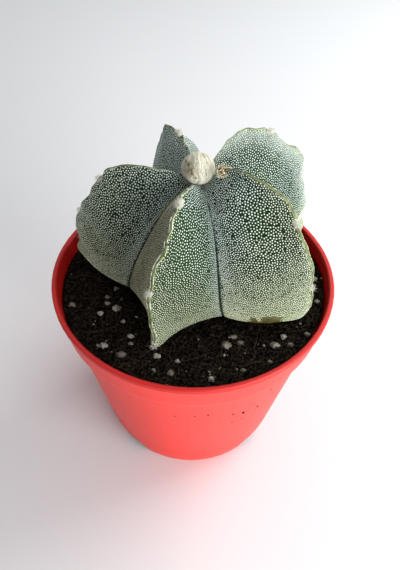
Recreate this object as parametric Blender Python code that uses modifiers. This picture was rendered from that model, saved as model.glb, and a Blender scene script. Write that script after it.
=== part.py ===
"""A bishop's cap cactus with five ribs, in a round plastic nursery pot filled with potting mix.

Units are metres, +Z is up, and the origin is the centre of the pot's foot. Azimuth 0 is +X and the
viewer's side is -Y.
"""

import math
import random

import bmesh
import bpy
from mathutils import Vector, noise

MM = 0.001

# Pot, from the rim's outside diameter down
RIM_RADIUS = 52.5 * MM
POT_HEIGHT = 78.5 * MM
LIP_HEIGHT = 2.2 * MM
LIP_PROUD = 0.7 * MM
BAND_HEIGHT = 13.0 * MM
BAND_FOOT_RADIUS = 49.5 * MM
BODY_TOP_RADIUS = 47.9 * MM
CHAMFER_RADIUS = 36.1 * MM
CHAMFER_HEIGHT = 7.0 * MM
FOOT_RADIUS = 34.0 * MM
WALL = 1.2 * MM
DRAIN_ARCHES = 4
DRAIN_ARCH_FIRST = -42
DRAIN_ARCH_HALF_WIDTH = 6.0 * MM
DRAIN_ARCH_HEIGHT = 5.6 * MM
DRAIN_ARCH_INNER_RADIUS = 28.5 * MM
ROUND_STEPS = 72

# Potting mix
GAP = 0.3 * MM
SOIL_LEVEL = 73.5 * MM
SOIL_RINGS = 9
SOIL_RELIEF = 0.55 * MM
SOIL_RIGHT_RISE = 1.2 * MM
SOIL_DISH = 2.0 * MM
SOIL_DISH_RADIUS = 30.0 * MM
CRUMB_COUNT = 46
PERLITE_COUNT = 22
GRAIN_SEED = 11
GRAIN_CLEAR_OF_PLANT = 22.0 * MM

# Larger white grains that lie in the open: place across the pot, and radius
OPEN_GRAINS = (
    (-24.5, -34.0, 1.6), (-31.0, -30.0, 1.4), (-21.5, -29.0, 1.0), (-28.0, -13.0, 1.5),
    (-33.5, -15.5, 1.2), (-25.0, -19.0, 0.9), (-44.5, -11.0, 1.3), (-12.0, -34.5, 1.3),
    (7.0, -44.0, 1.2), (12.0, -29.5, 1.7), (17.0, -28.5, 1.2), (29.0, -29.5, 1.6),
    (34.5, -29.0, 1.0), (41.0, -24.5, 1.1), (46.0, 2.5, 1.2), (46.0, -9.0, 1.1),
)

# Plant: its axis stands a little behind the pot's axis
PLANT_X = 1.5 * MM
PLANT_Y = 7.2 * MM
CROWN_HEIGHT = 43.0 * MM

# Each rib: azimuth, turn from crown to toe, bow (azimuth gained halfway down and lost below),
# reach, crest height, toe height, lean (how far its shoulder is drawn in), swell of its flanks,
# and how far its left and right flank swell at the foot (minus is pinched in)
RIBS = {
    "front": dict(azimuth=249.5, turn=4, bow=2.8, reach=43.5, crest=50.0, toe=2.6, lean=0.06,
                  swell=1.5, left=-3.3, right=-3.3),
    "right": dict(azimuth=326, turn=2, bow=0, reach=48.8, crest=55.5, toe=2.8, lean=0.04,
                  swell=1.5, left=2.8, right=2.0),
    "back_right": dict(azimuth=392, turn=-15, bow=0, reach=45.8, crest=57.5, toe=5.8, lean=-0.01,
                       swell=1.3, left=-1.0, right=0.5),
    "back_left": dict(azimuth=479, turn=0, bow=0, reach=43.5, crest=53.5, toe=6.6, lean=0.22,
                      swell=0.8, left=-0.5, right=-0.5),
    "left": dict(azimuth=530.5, turn=-4, bow=0, reach=48.8, crest=47.0, toe=2.6, lean=0.06,
                 swell=1.5, left=0.5, right=2.2),
}
RIDGE_SWAY = 0.9 * MM
CREST_ROUNDING = 0.6 * MM
AREOLE_NOTCH = 1.3 * MM
AREOLE_RADIUS = 1.1 * MM

# Where each rib's woolly areoles sit, counted in knots of the ridge profile
AREOLES = {
    "front": (2.95, 6.35, 8.7),
    "right": (4.9, 7.15),
    "back_right": (3.85, 6.2, 7.9),
    "back_left": (2.6, 6.2, 7.8),
    "left": (4.7, 6.6, 8.0),
}

# Ridge profile in knots. Over the crown the height runs from crown (0) to crest (1)
RIDGE_CROWN = ((3.0, 0.1), (7.0, 0.6), (12.5, 0.92))
# Then the reach is a share of the rib's reach, and the height runs from toe (0) to crest (1)
RIDGE_FLANK = ((0.43, 1.0), (0.66, 0.92), (0.83, 0.76), (0.945, 0.56), (0.995, 0.33), (0.995, 0.13))
RIDGE_TOE = (0.97, 0.0)
RIDGE_UNDER = ((0.74, 0.0), (0.46, -0.01))
# The groove between two ribs, in knots: radius and height over the soil
GROOVE = (
    (2.6, 43.0), (7.2, 41.6), (12.0, 38.0), (16.0, 33.4), (19.6, 27.6), (23.0, 21.2),
    (25.8, 15.0), (27.8, 9.4), (28.8, 6.4), (28.4, 4.6), (23.5, 3.4), (16.5, 2.0),
)
# The neck and taproot, round, below both
ROOT = ((10.0, -2.4), (8.2, -9.0), (5.0, -19.0), (2.4, -27.0))
ROOT_TIP = -30.0
RINGS_PER_KNOT = 2
FLANK_STEPS = (0.0, 0.18, 0.38, 0.6, 0.8, 0.93)

# Woolly bud on the crown and the dried flower beside it
WOOL_RADIUS = 5.9 * MM
WOOL_HEIGHT = 48.8 * MM
WOOL_SQUASH = 0.96
WOOL_STRANDS = 12
DRIED_FLOWER_RADIUS = 2.3 * MM
DRIED_FLOWER_REACH = 9.6 * MM
DRIED_FLOWER_HEIGHT = 52.2 * MM


def clear_scene():
    for obj in list(bpy.data.objects):
        bpy.data.objects.remove(obj)


def collection(name, shown=True):
    made = bpy.data.collections.new(name)
    bpy.context.scene.collection.children.link(made)
    made.hide_render = not shown
    return made


def material(name, colour, roughness):
    made = bpy.data.materials.new(name)
    made.use_nodes = True
    shader = made.node_tree.nodes["Principled BSDF"]
    shader.inputs["Base Color"].default_value = (*colour, 1.0)
    shader.inputs["Roughness"].default_value = roughness
    return made


def add_object(name, mesh, group, finish=None):
    obj = bpy.data.objects.new(name, mesh)
    group.objects.link(obj)
    if finish:
        mesh.materials.append(finish)
    return obj


def mesh_from(bm, name):
    mesh = bpy.data.meshes.new(name)
    bm.to_mesh(mesh)
    bm.free()
    return mesh


def turned(name, profile, group, finish=None, steps=ROUND_STEPS):
    """A solid turned from a profile that starts and ends on the axis and runs down its outer side."""
    mesh = bpy.data.meshes.new(name)
    edges = [(i, i + 1) for i in range(len(profile) - 1)]
    mesh.from_pydata([(r, 0.0, z) for r, z in profile], edges, [])
    obj = add_object(name, mesh, group, finish)
    screw = obj.modifiers.new("turn", "SCREW")
    screw.axis = "Z"
    screw.steps = screw.render_steps = steps
    screw.use_merge_vertices = True
    screw.merge_threshold = 0.00001
    return obj


def made_real(obj, group):
    """The same object as a plain mesh, in its own place."""
    graph = bpy.context.evaluated_depsgraph_get()
    mesh = bpy.data.meshes.new_from_object(obj.evaluated_get(graph))
    name, place = obj.name, obj.matrix_world.copy()
    bpy.data.objects.remove(obj)
    plain = add_object(name, mesh, group)
    plain.matrix_world = place
    return plain


def cut(obj, cutter, operation="DIFFERENCE"):
    boolean = obj.modifiers.new(cutter.name, "BOOLEAN")
    boolean.operation = operation
    boolean.object = cutter
    cutter.hide_render = True
    cutter.display_type = "WIRE"


def joined_to(obj, helpers, group):
    """The object with every helper of a collection fused on, as one plain mesh."""
    boolean = obj.modifiers.new("fuse", "BOOLEAN")
    boolean.operation = "UNION"
    boolean.operand_type = "COLLECTION"
    boolean.collection = helpers
    bpy.context.view_layer.update()
    plain = made_real(obj, group)
    for helper in list(helpers.objects):
        bpy.data.objects.remove(helper)
    bpy.data.collections.remove(helpers)
    return plain


def shade_round(obj, degrees):
    obj.data.shade_smooth()
    obj.data.set_sharp_from_angle(angle=math.radians(degrees))


def through(knots, at):
    """A smooth curve through the knots, read at a knot number that may have a fraction."""
    last = len(knots) - 1
    i = min(int(at), last - 1)
    f = at - i
    p1, p2 = Vector(knots[i]), Vector(knots[i + 1])
    p0 = Vector(knots[i - 1]) if i > 0 else 2 * p1 - p2
    p3 = Vector(knots[i + 2]) if i + 2 <= last else 2 * p2 - p1
    return 0.5 * (
        2 * p1
        + (p2 - p0) * f
        + (2 * p0 - 5 * p1 + 4 * p2 - p3) * f * f
        + (3 * p1 - p0 - 3 * p2 + p3) * f * f * f
    )


def pot_inner_radius(z):
    """Radius of the pot's inner wall at a height above the chamfer."""
    band_foot = POT_HEIGHT - BAND_HEIGHT
    if z >= band_foot + WALL:
        share = (z - band_foot) / BAND_HEIGHT
        return BAND_FOOT_RADIUS + share * (RIM_RADIUS - LIP_PROUD - BAND_FOOT_RADIUS) - WALL
    share = (z - CHAMFER_HEIGHT) / (band_foot - CHAMFER_HEIGHT)
    return CHAMFER_RADIUS + share * (BODY_TOP_RADIUS - CHAMFER_RADIUS) - WALL


def build_pot(group, cutters):
    finish = material("red_plastic", (0.80, 0.035, 0.025), 0.38)
    band_foot = POT_HEIGHT - BAND_HEIGHT
    wall_top = RIM_RADIUS - LIP_PROUD
    lip_foot = POT_HEIGHT - LIP_HEIGHT
    bevel = 0.35 * MM
    profile = [
        (0.0, WALL),
        (FOOT_RADIUS - WALL, WALL),
        (pot_inner_radius(CHAMFER_HEIGHT) - 0.3 * WALL, CHAMFER_HEIGHT - 0.2 * WALL),
        (pot_inner_radius(CHAMFER_HEIGHT + WALL), CHAMFER_HEIGHT + WALL),
        (pot_inner_radius(band_foot), band_foot),
        (pot_inner_radius(band_foot + WALL) - 0.2 * WALL, band_foot + WALL),
        (pot_inner_radius(band_foot + 2 * WALL), band_foot + 2 * WALL),
        (wall_top - WALL, POT_HEIGHT - bevel),
        (wall_top - WALL + bevel, POT_HEIGHT),
        (RIM_RADIUS - bevel, POT_HEIGHT),
        (RIM_RADIUS, POT_HEIGHT - bevel),
        (RIM_RADIUS - 0.1 * MM, lip_foot + bevel),
        (wall_top - 0.4 * MM, lip_foot - bevel),
        (BAND_FOOT_RADIUS + bevel, band_foot + bevel),
        (BAND_FOOT_RADIUS, band_foot),
        (BODY_TOP_RADIUS + bevel, band_foot - 0.2 * WALL),
        (BODY_TOP_RADIUS - 0.1 * MM, band_foot - WALL),
        (CHAMFER_RADIUS + 0.1 * MM, CHAMFER_HEIGHT + bevel),
        (CHAMFER_RADIUS - 0.1 * MM, CHAMFER_HEIGHT - bevel),
        (FOOT_RADIUS, bevel),
        (FOOT_RADIUS - bevel, 0.0),
        (0.0, 0.0),
    ]
    pot = turned("pot", profile, group, finish)
    for i in range(DRAIN_ARCHES):
        angle = math.radians(DRAIN_ARCH_FIRST) + 2 * math.pi * i / DRAIN_ARCHES
        reach = (RIM_RADIUS + DRAIN_ARCH_INNER_RADIUS) / 2
        bm = bmesh.new()
        bmesh.ops.create_cone(
            bm, cap_ends=True, segments=24, radius1=1.0, radius2=1.0,
            depth=RIM_RADIUS - DRAIN_ARCH_INNER_RADIUS,
        )
        arch = add_object(f"drain_arch_{i}", mesh_from(bm, "drain_arch"), cutters)
        arch.scale = (DRAIN_ARCH_HEIGHT, DRAIN_ARCH_HALF_WIDTH, 1.0)
        arch.rotation_euler = (0.0, math.pi / 2, angle)
        arch.location = (reach * math.cos(angle), reach * math.sin(angle), 0.0)
        cut(pot, arch)
    return pot


def soil_height(x, y):
    """Height of the potting mix: it rises to the right, dips under the plant and is crumbly."""
    away = math.hypot(x - PLANT_X, y - PLANT_Y)
    dish = max(0.0, 1.0 - away / SOIL_DISH_RADIUS)
    lump = noise.noise(Vector((x, y, 0.0)) / (6 * MM))
    return (
        SOIL_LEVEL
        + SOIL_RIGHT_RISE * (x / RIM_RADIUS)
        - SOIL_DISH * dish
        + SOIL_RELIEF * lump
    )


def grain(name, place, radius, squash, turn, group):
    """One crumb or grain, an icosphere sunk a little more than half into the soil."""
    bm = bmesh.new()
    bmesh.ops.create_icosphere(bm, subdivisions=1, radius=radius)
    obj = add_object(name, mesh_from(bm, name), group)
    obj.scale = (1.0, squash, 0.7)
    obj.rotation_euler = (0.3 * math.sin(turn), 0.3 * math.cos(turn), turn)
    obj.location = (place[0], place[1], soil_height(*place) - 0.1 * radius)
    return obj


def grain_places():
    """Seeded places of crumbs and perlite over the open soil: (x, y, radius, squash, turn)."""
    draw = random.Random(GRAIN_SEED)
    found = []
    edge = pot_inner_radius(SOIL_LEVEL) - 3.5 * MM
    while len(found) < CRUMB_COUNT + PERLITE_COUNT:
        angle = draw.uniform(0, 2 * math.pi)
        reach = edge * math.sqrt(draw.random())
        x, y = reach * math.cos(angle), reach * math.sin(angle)
        crumb = len(found) < CRUMB_COUNT
        radius = draw.uniform(0.8, 1.5) * MM if crumb else draw.uniform(0.7, 1.2) * MM
        squash, turn = draw.uniform(0.65, 1.0), draw.uniform(0, 6.28)
        if math.hypot(x - PLANT_X, y - PLANT_Y) < GRAIN_CLEAR_OF_PLANT:
            continue
        found.append((x, y, radius, squash, turn))
    for i, (x, y, radius) in enumerate(OPEN_GRAINS):
        found.append((x * MM, y * MM, radius * MM, 0.8, float(i)))
    return found


def build_soil(group, cutters):
    finish = material("potting_mix", (0.022, 0.016, 0.012), 0.95)
    floor = WALL + GAP
    band_foot = POT_HEIGHT - BAND_HEIGHT
    top_radius = pot_inner_radius(SOIL_LEVEL) - 2 * GAP
    rings = [(top_radius * i / SOIL_RINGS, SOIL_LEVEL) for i in range(SOIL_RINGS + 1)]
    profile = rings + [
        (pot_inner_radius(band_foot + 2 * WALL) - 2 * GAP, band_foot + 2 * WALL),
        (pot_inner_radius(band_foot) - GAP, band_foot - GAP),
        (pot_inner_radius(CHAMFER_HEIGHT + WALL) - GAP, CHAMFER_HEIGHT + 1.5 * WALL),
        (FOOT_RADIUS - WALL - GAP, floor),
        (0.0, floor),
    ]
    soil = made_real(turned("soil", profile, group, finish), group)
    soil.data.materials.append(finish)
    for vertex in soil.data.vertices:
        if abs(vertex.co.z - SOIL_LEVEL) < GAP:
            vertex.co.z = soil_height(vertex.co.x, vertex.co.y)
    hole_top, hole_radius = SOIL_LEVEL + 12 * GAP, GROOVE[-1][0] * MM
    hole = [(0.0, hole_top), (hole_radius, hole_top), (hole_radius, SOIL_LEVEL)]
    hole += [(r * MM + 1.5 * GAP, SOIL_LEVEL + h * MM - GAP) for r, h in ROOT]
    hole += [(0.0, SOIL_LEVEL + ROOT_TIP * MM - GAP)]
    cutter = turned("root_hole", hole, cutters)
    cutter.location = (PLANT_X, PLANT_Y, 0.0)
    cut(soil, cutter)
    bpy.context.view_layer.update()
    soil = made_real(soil, group)
    grains = collection("grains")
    for i, (x, y, radius, squash, turn) in enumerate(grain_places()):
        grain(f"grain_{i}", (x, y), radius, squash, turn, grains)
    return joined_to(soil, grains, group)


def ridge_knots(rib):
    """Radius and height of one rib's ridge, from the crown over the crest and toe to the root."""
    crown, crest, toe = CROWN_HEIGHT / MM, rib["crest"], rib["toe"]
    knots = [(r, crown + s * (crest - crown)) for r, s in RIDGE_CROWN]
    for share, s in (*RIDGE_FLANK, RIDGE_TOE, *RIDGE_UNDER):
        share -= rib["lean"] * max(0.0, math.sin(math.pi * s))
        knots.append((share * rib["reach"], toe + s * (crest - toe)))
    return [*knots, *ROOT]


GROOVE_KNOTS = [*GROOVE, *ROOT]
TOE_KNOT = len(RIDGE_CROWN) + len(RIDGE_FLANK)
LAST_KNOT = len(GROOVE_KNOTS) - 1


def ridge_azimuth(rib, at):
    """Azimuth of the ridge in degrees at a knot: it turns and bows a little along its length."""
    share = min(at / TOE_KNOT, 1.0)
    bow = rib["bow"] * math.sin(2 * math.pi * share)
    return rib["azimuth"] + rib["turn"] * (share - 0.5) + bow


def ridge_point(name, at):
    """A point of the ridge, with its notches at the areoles and its sideways sway."""
    rib = RIBS[name]
    radius, height = through(ridge_knots(rib), at) * MM
    free = math.sin(math.pi * min(max((at - 1.0) / TOE_KNOT, 0.0), 1.0))
    notch = sum(math.exp(-(((at - a) / 0.3) ** 2)) for a in AREOLES[name])
    radius -= AREOLE_NOTCH * (notch - 0.35) * free
    azimuth = math.radians(ridge_azimuth(rib, at))
    sway = RIDGE_SWAY * math.sin(2.1 * at + rib["azimuth"]) * free
    along = Vector((math.cos(azimuth), math.sin(azimuth), 0.0))
    across = Vector((-along.y, along.x, 0.0))
    return along * radius + across * sway + Vector((0.0, 0.0, height))


def groove_point(azimuth, at):
    radius, height = through(GROOVE_KNOTS, at) * MM
    return Vector((radius * math.cos(azimuth), radius * math.sin(azimuth), height))


def flank_point(name, neighbour, side, step, at):
    """A point between the groove (step 0) and the ridge (step 1) on one flank of a rib.

    Side is +1 for the flank with the larger azimuth, and -1 for the other.
    """
    rib, other = RIBS[name], RIBS[neighbour]
    gap = (ridge_azimuth(other, at) - ridge_azimuth(rib, at)) * side % 360
    azimuth = math.radians(ridge_azimuth(rib, at) + side * gap / 2)
    ridge, groove = ridge_point(name, at), groove_point(azimuth, at)
    point = groove.lerp(ridge, step)
    chord = Vector((ridge.x - groove.x, ridge.y - groove.y, 0.0))
    if chord.length < GAP:
        return point
    outward = Vector((-chord.y, chord.x, 0.0)).normalized() * side
    open_share = math.sin(math.pi * min(max(at / (TOE_KNOT + 2.0), 0.0), 1.0))
    foot_share = math.exp(-(((at - TOE_KNOT + 0.3) / 1.7) ** 2))
    foot = rib["left" if side < 0 else "right"] * MM
    arch = 4 * step * (1 - step)
    nearness = (1 - step) / 0.07
    crest = CREST_ROUNDING * nearness * math.exp(1 - nearness)
    point += outward * arch * (rib["swell"] * MM * open_share + foot * foot_share)
    point += outward * crest * open_share
    return point


def body_grid():
    """The longitudes of the body: (rib, neighbour, side, step) for each, once round."""
    names = list(RIBS)
    columns = []
    for i, name in enumerate(names):
        before, after = names[i - 1], names[(i + 1) % len(names)]
        columns += [(name, before, -1, step) for step in FLANK_STEPS]
        columns += [(name, after, 1, step) for step in (1.0, *reversed(FLANK_STEPS[1:]))]
    return columns


def build_cactus(group):
    """The body: a UV sphere's vertices moved onto the ribs' formula, with the areoles fused on."""
    finish = material("cactus_skin", (0.16, 0.24, 0.14), 0.75)
    columns = body_grid()
    rows = LAST_KNOT * RINGS_PER_KNOT + 1
    bm = bmesh.new()
    bmesh.ops.create_uvsphere(bm, u_segments=len(columns), v_segments=rows + 1, radius=1.0)
    for vertex in bm.verts:
        flat = math.hypot(vertex.co.x, vertex.co.y)
        if flat < 1e-4:
            top = CROWN_HEIGHT - GAP
            vertex.co = Vector((0.0, 0.0, top if vertex.co.z > 0 else ROOT_TIP * MM))
            continue
        longitude = math.atan2(vertex.co.y, vertex.co.x) % (2 * math.pi)
        latitude = math.atan2(flat, vertex.co.z)
        column = round(longitude / (2 * math.pi) * len(columns)) % len(columns)
        row = round(latitude / math.pi * (rows + 1)) - 1
        vertex.co = flank_point(*columns[column], row / RINGS_PER_KNOT)
    bmesh.ops.recalc_face_normals(bm, faces=bm.faces)
    body = add_object("cactus_body", mesh_from(bm, "cactus_body"), group, finish)
    body.location = (PLANT_X, PLANT_Y, SOIL_LEVEL)
    tufts = collection("areoles")
    for name, places in AREOLES.items():
        for i, at in enumerate(places):
            bm = bmesh.new()
            bmesh.ops.create_icosphere(bm, subdivisions=2, radius=AREOLE_RADIUS)
            tuft = add_object(f"areole_{name}_{i}", mesh_from(bm, "areole"), tufts)
            tuft.location = body.location + ridge_point(name, at)
            tuft.scale = (1.0, 1.0, 1.15)
    bpy.context.view_layer.update()
    return joined_to(body, tufts, group)


def seat_cutter(body, cutters):
    """The body grown by the gap that a piece resting on it keeps."""
    seat = add_object("seat", body.data.copy(), cutters)
    seat.matrix_world = body.matrix_world
    grow = seat.modifiers.new("grow", "DISPLACE")
    grow.mid_level = 0.0
    grow.strength = 1.2 * GAP
    seat.hide_render = True
    seat.display_type = "WIRE"
    return seat


def build_wool(group, seat):
    """The silky bud on the crown: a ball with swirled strands."""
    finish = material("cream_wool", (0.66, 0.60, 0.46), 0.9)
    bm = bmesh.new()
    bmesh.ops.create_uvsphere(bm, u_segments=48, v_segments=16, radius=WOOL_RADIUS)
    for vertex in bm.verts:
        way = vertex.co.normalized()
        turn = math.atan2(way.y, way.x)
        flat = math.hypot(way.x, way.y)
        strand = math.sin(WOOL_STRANDS * turn + 2.5 * way.z) * flat
        vertex.co = way * WOOL_RADIUS * (1 + 0.03 * strand)
        vertex.co.z *= WOOL_SQUASH
    wool = add_object("crown_wool", mesh_from(bm, "crown_wool"), group, finish)
    wool.location = (PLANT_X - 0.7 * MM, PLANT_Y, SOIL_LEVEL + WOOL_HEIGHT)
    cut(wool, seat)
    return wool


def build_dried_flower(group, seat):
    """What is left of a withered flower, a crumpled tuft beside the bud."""
    finish = material("dried_flower", (0.50, 0.38, 0.20), 0.95)
    bm = bmesh.new()
    bmesh.ops.create_icosphere(bm, subdivisions=3, radius=DRIED_FLOWER_RADIUS)
    for vertex in bm.verts:
        lump = noise.noise(vertex.co / (1.1 * MM))
        vertex.co *= 1 + 0.28 * lump
        vertex.co.z *= 0.8
    flower = add_object("dried_flower", mesh_from(bm, "dried_flower"), group, finish)
    azimuth = math.radians(ridge_azimuth(RIBS["right"], 1.0))
    flower.location = (
        PLANT_X + DRIED_FLOWER_REACH * math.cos(azimuth),
        PLANT_Y + DRIED_FLOWER_REACH * math.sin(azimuth),
        SOIL_LEVEL + DRIED_FLOWER_HEIGHT,
    )
    cut(flower, seat)
    return flower


def main():
    clear_scene()
    group = collection("potted_bishops_cap_cactus")
    cutters = collection("cutters", shown=False)
    pot = build_pot(group, cutters)
    soil = build_soil(group, cutters)
    body = build_cactus(group)
    seat = seat_cutter(body, cutters)
    wool = build_wool(group, seat)
    flower = build_dried_flower(group, seat)
    bpy.context.view_layer.update()
    for obj, degrees in ((soil, 25), (body, 35), (wool, 60), (flower, 60)):
        shade_round(obj, degrees)
    return pot


main()
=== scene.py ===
# %% [markdown]
# # A bishop's cap cactus in a red nursery pot
# The plant is one broad body with five deep ribs. Its dark green skin carries thousands of small
# white flecks, a woolly bud sits on its crown, and it grows in black potting mix with white grains.
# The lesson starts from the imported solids, which give every size, and then dresses them piece by
# piece: camera and light, pot, skin, flecks, ridge cords, areoles, bud, dried flower and mix.

import math
import random

import bmesh
import bpy
from mathutils import Matrix, Vector, noise


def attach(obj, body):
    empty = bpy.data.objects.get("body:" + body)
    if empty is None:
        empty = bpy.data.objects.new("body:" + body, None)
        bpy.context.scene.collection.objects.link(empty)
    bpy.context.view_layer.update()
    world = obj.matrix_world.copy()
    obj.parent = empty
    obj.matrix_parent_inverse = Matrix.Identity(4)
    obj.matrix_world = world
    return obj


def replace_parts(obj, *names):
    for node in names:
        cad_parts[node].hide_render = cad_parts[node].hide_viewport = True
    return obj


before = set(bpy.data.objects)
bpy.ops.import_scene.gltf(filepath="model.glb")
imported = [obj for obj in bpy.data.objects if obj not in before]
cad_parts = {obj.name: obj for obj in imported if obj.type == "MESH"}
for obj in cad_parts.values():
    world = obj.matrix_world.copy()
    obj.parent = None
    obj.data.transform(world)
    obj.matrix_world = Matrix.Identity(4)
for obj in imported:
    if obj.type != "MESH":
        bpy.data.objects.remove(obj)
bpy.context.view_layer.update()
MM = 0.001


def put_in_scene(name, data):
    """An object at the origin for a mesh, a lamp or a camera."""
    thing = bpy.data.objects.new(name, data)
    bpy.context.scene.collection.objects.link(thing)
    return thing


print("solids:", sorted(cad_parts))

# %% [markdown]
# ## Camera
# The photograph looks down at the pot from above and in front. The ellipses of the rim and of the
# foot fix the height, the tilt and the lens, so the camera is placed with those numbers and not by
# eye. Its three directions are written out, because that also keeps the slight roll.

# %% Place the camera
CAMERA_PLACE = Vector((0.0, -0.181, 0.2677))
CAMERA_RIGHT = Vector((0.99968, 0.01052, 0.02287))
CAMERA_FORWARD = Vector((0.00962, 0.68009, -0.73306))
CAMERA_UP = CAMERA_RIGHT.cross(CAMERA_FORWARD).normalized()
FRAME_HEIGHT_PX = 570
FOCAL_PX = 700
SENSOR = 36.0
NEAREST_SEEN = 0.005

camera = put_in_scene("camera", bpy.data.cameras.new("camera"))
turn = Matrix((CAMERA_RIGHT, CAMERA_UP, -CAMERA_FORWARD)).transposed()
camera.matrix_world = Matrix.Translation(CAMERA_PLACE) @ turn.to_4x4()
camera.data.sensor_fit = "VERTICAL"
camera.data.sensor_height = SENSOR
camera.data.lens = SENSOR * FOCAL_PX / FRAME_HEIGHT_PX
camera.data.clip_start = NEAREST_SEEN
bpy.context.scene.camera = camera
print("lens in mm:", round(camera.data.lens, 1))

# %% [markdown]
# ## Helpers for node trees
# Finishes and Geometry Nodes are both node trees. One small helper adds a node, sets its options
# and fills or links its sockets, which keeps each recipe below short enough to read. The others
# give the few sums that the recipes need a plain name.

# %% Node helpers
def add(tree, kind, inputs=None, **settings):
    """A node with its settings; each input is filled with a value or linked to a socket."""
    made = tree.nodes.new(kind)
    for name, value in settings.items():
        setattr(made, name, value)
    for name, value in (inputs or {}).items():
        if isinstance(value, bpy.types.NodeSocket):
            tree.links.new(value, made.inputs[name])
        else:
            made.inputs[name].default_value = value
    return made


def math_node(tree, operation, first, second):
    return add(tree, "ShaderNodeMath", {0: first, 1: second}, operation=operation).outputs[0]


def times(tree, first, second):
    return math_node(tree, "MULTIPLY", first, second)


def vector_node(tree, operation, first, second):
    """A vector, or a number where the operation gives one."""
    made = add(tree, "ShaderNodeVectorMath", {0: first, 1: second}, operation=operation)
    return made.outputs["Value" if operation in ("DOT_PRODUCT", "DISTANCE") else "Vector"]


def length_of(tree, vector):
    return add(tree, "ShaderNodeVectorMath", {0: vector}, operation="LENGTH").outputs["Value"]


def scaled(tree, vector, factor):
    made = add(tree, "ShaderNodeVectorMath", {0: vector, "Scale": factor}, operation="SCALE")
    return made.outputs["Vector"]


def axis_of(tree, vector, axis):
    """One of a vector's three numbers."""
    return add(tree, "ShaderNodeSeparateXYZ", {"Vector": vector}).outputs[axis]


def away_from_axis(tree, where):
    """Level distance of a place from the upright axis."""
    return length_of(tree, vector_node(tree, "MULTIPLY", where, (1.0, 1.0, 0.0)))


def ramp(tree, value, low, high, from_value=0.0, to_value=1.0):
    """A smooth step from one value to another as the input goes from low to high."""
    return add(
        tree, "ShaderNodeMapRange",
        {"Value": value, "From Min": low, "From Max": high, "To Min": from_value, "To Max": to_value},
        interpolation_type="SMOOTHSTEP",
    ).outputs["Result"]


print("node helpers are ready")

# %% [markdown]
# ## Helpers for finishes
# Plastic, skin, wool and peat differ in colour, in roughness and in how their surface breaks up.
# Painted pictures would need a flat map of each piece, so every pattern is worked out from the
# place on the object instead: noise for clouds and lumps, and scattered points for dots and pits.

# %% Finish helpers
def new_finish(name, roughness, shine=0.1):
    """A finish; shine is 0.5 for smooth plastic and near 0 for wool, skin dust and peat."""
    finish = bpy.data.materials.new(name)
    finish.use_nodes = True
    shader = finish.node_tree.nodes["Principled BSDF"]
    shader.inputs["Roughness"].default_value = roughness
    shader.inputs["Specular IOR Level"].default_value = shine
    return finish, finish.node_tree, shader


def place(tree):
    return add(tree, "ShaderNodeTexCoord").outputs["Object"]


def attribute(tree, name):
    return add(tree, "ShaderNodeAttribute", attribute_name=name).outputs["Fac"]


def mix(tree, factor, first, second):
    """A colour between two, each a socket or its red, green and blue."""
    first, second = (
        tone if isinstance(tone, bpy.types.NodeSocket) else (*tone, 1.0) for tone in (first, second)
    )
    return add(tree, "ShaderNodeMix", {0: factor, 6: first, 7: second}, data_type="RGBA").outputs[2]


def cloudy(tree, size, detail=3.0, shift=(0.0, 0.0, 0.0)):
    """Noise with lumps of a given size in metres."""
    where = add(tree, "ShaderNodeMapping", {"Vector": place(tree), "Location": shift})
    return add(
        tree, "ShaderNodeTexNoise",
        {"Vector": where.outputs["Vector"], "Scale": 1.0 / size, "Detail": detail},
    ).outputs["Fac"]


def grains(tree, size):
    """Distance to the nearest of many scattered points, for dots and pits."""
    return add(
        tree, "ShaderNodeTexVoronoi", {"Vector": place(tree), "Scale": 1.0 / size}
    ).outputs["Distance"]


def mottled(tree, size, dark, light):
    """A colour that drifts between two tones in lumps of a given size."""
    return mix(tree, cloudy(tree, size), dark, light)


def paint(tree, shader, tone):
    tree.links.new(tone, shader.inputs["Base Color"])


def mottled_finish(name, roughness, size, dark, light):
    finish, tree, shader = new_finish(name, roughness)
    paint(tree, shader, mottled(tree, size, dark, light))
    return finish


def raise_surface(tree, shader, height, depth, strength=1.0):
    bump = add(tree, "ShaderNodeBump", {"Height": height, "Distance": depth, "Strength": strength})
    tree.links.new(bump.outputs["Normal"], shader.inputs["Normal"])


print("finish helpers are ready")

# %% [markdown]
# ## Floor and light
# The pot stands on a pale table with windows on its right, so the table is almost white there and
# blue-grey on the left. One wide lamp stands low at the right front and lights the pot's wall and
# the ribs' flanks, and a second one stands behind on the right. A sky fills the rest, brighter
# behind on the right than in front on the left, as in a room with windows on two sides. The lamps
# are hidden from the camera, because the model is looked at from every side.

# %% Lay the floor
FLOOR_HALF = 1.6
FLOOR_TONE = (0.77, 0.77, 0.80, 1.0)

bm = bmesh.new()
bmesh.ops.create_grid(bm, x_segments=1, y_segments=1, size=FLOOR_HALF)
floor_mesh = bpy.data.meshes.new("floor")
bm.to_mesh(floor_mesh)
bm.free()
floor = put_in_scene("floor", floor_mesh)
floor_finish, tree, shader = new_finish("pale_table", 0.7)
shader.inputs["Base Color"].default_value = FLOOR_TONE
floor_mesh.materials.append(floor_finish)
print("floor side in m:", 2 * FLOOR_HALF)

# %% Hang the lamps
AIM = Vector((0.0, 0.0, 0.06))
# Azimuth and elevation in degrees, distance and side in metres, power in watts, tint
LAMPS = {
    "front_window": (-45, 12, 0.70, 0.50, 6.9, (0.97, 1.0, 0.98)),
    "side_window": (30, 35, 0.60, 0.40, 3.0, (0.98, 1.0, 0.98)),
}


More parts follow.
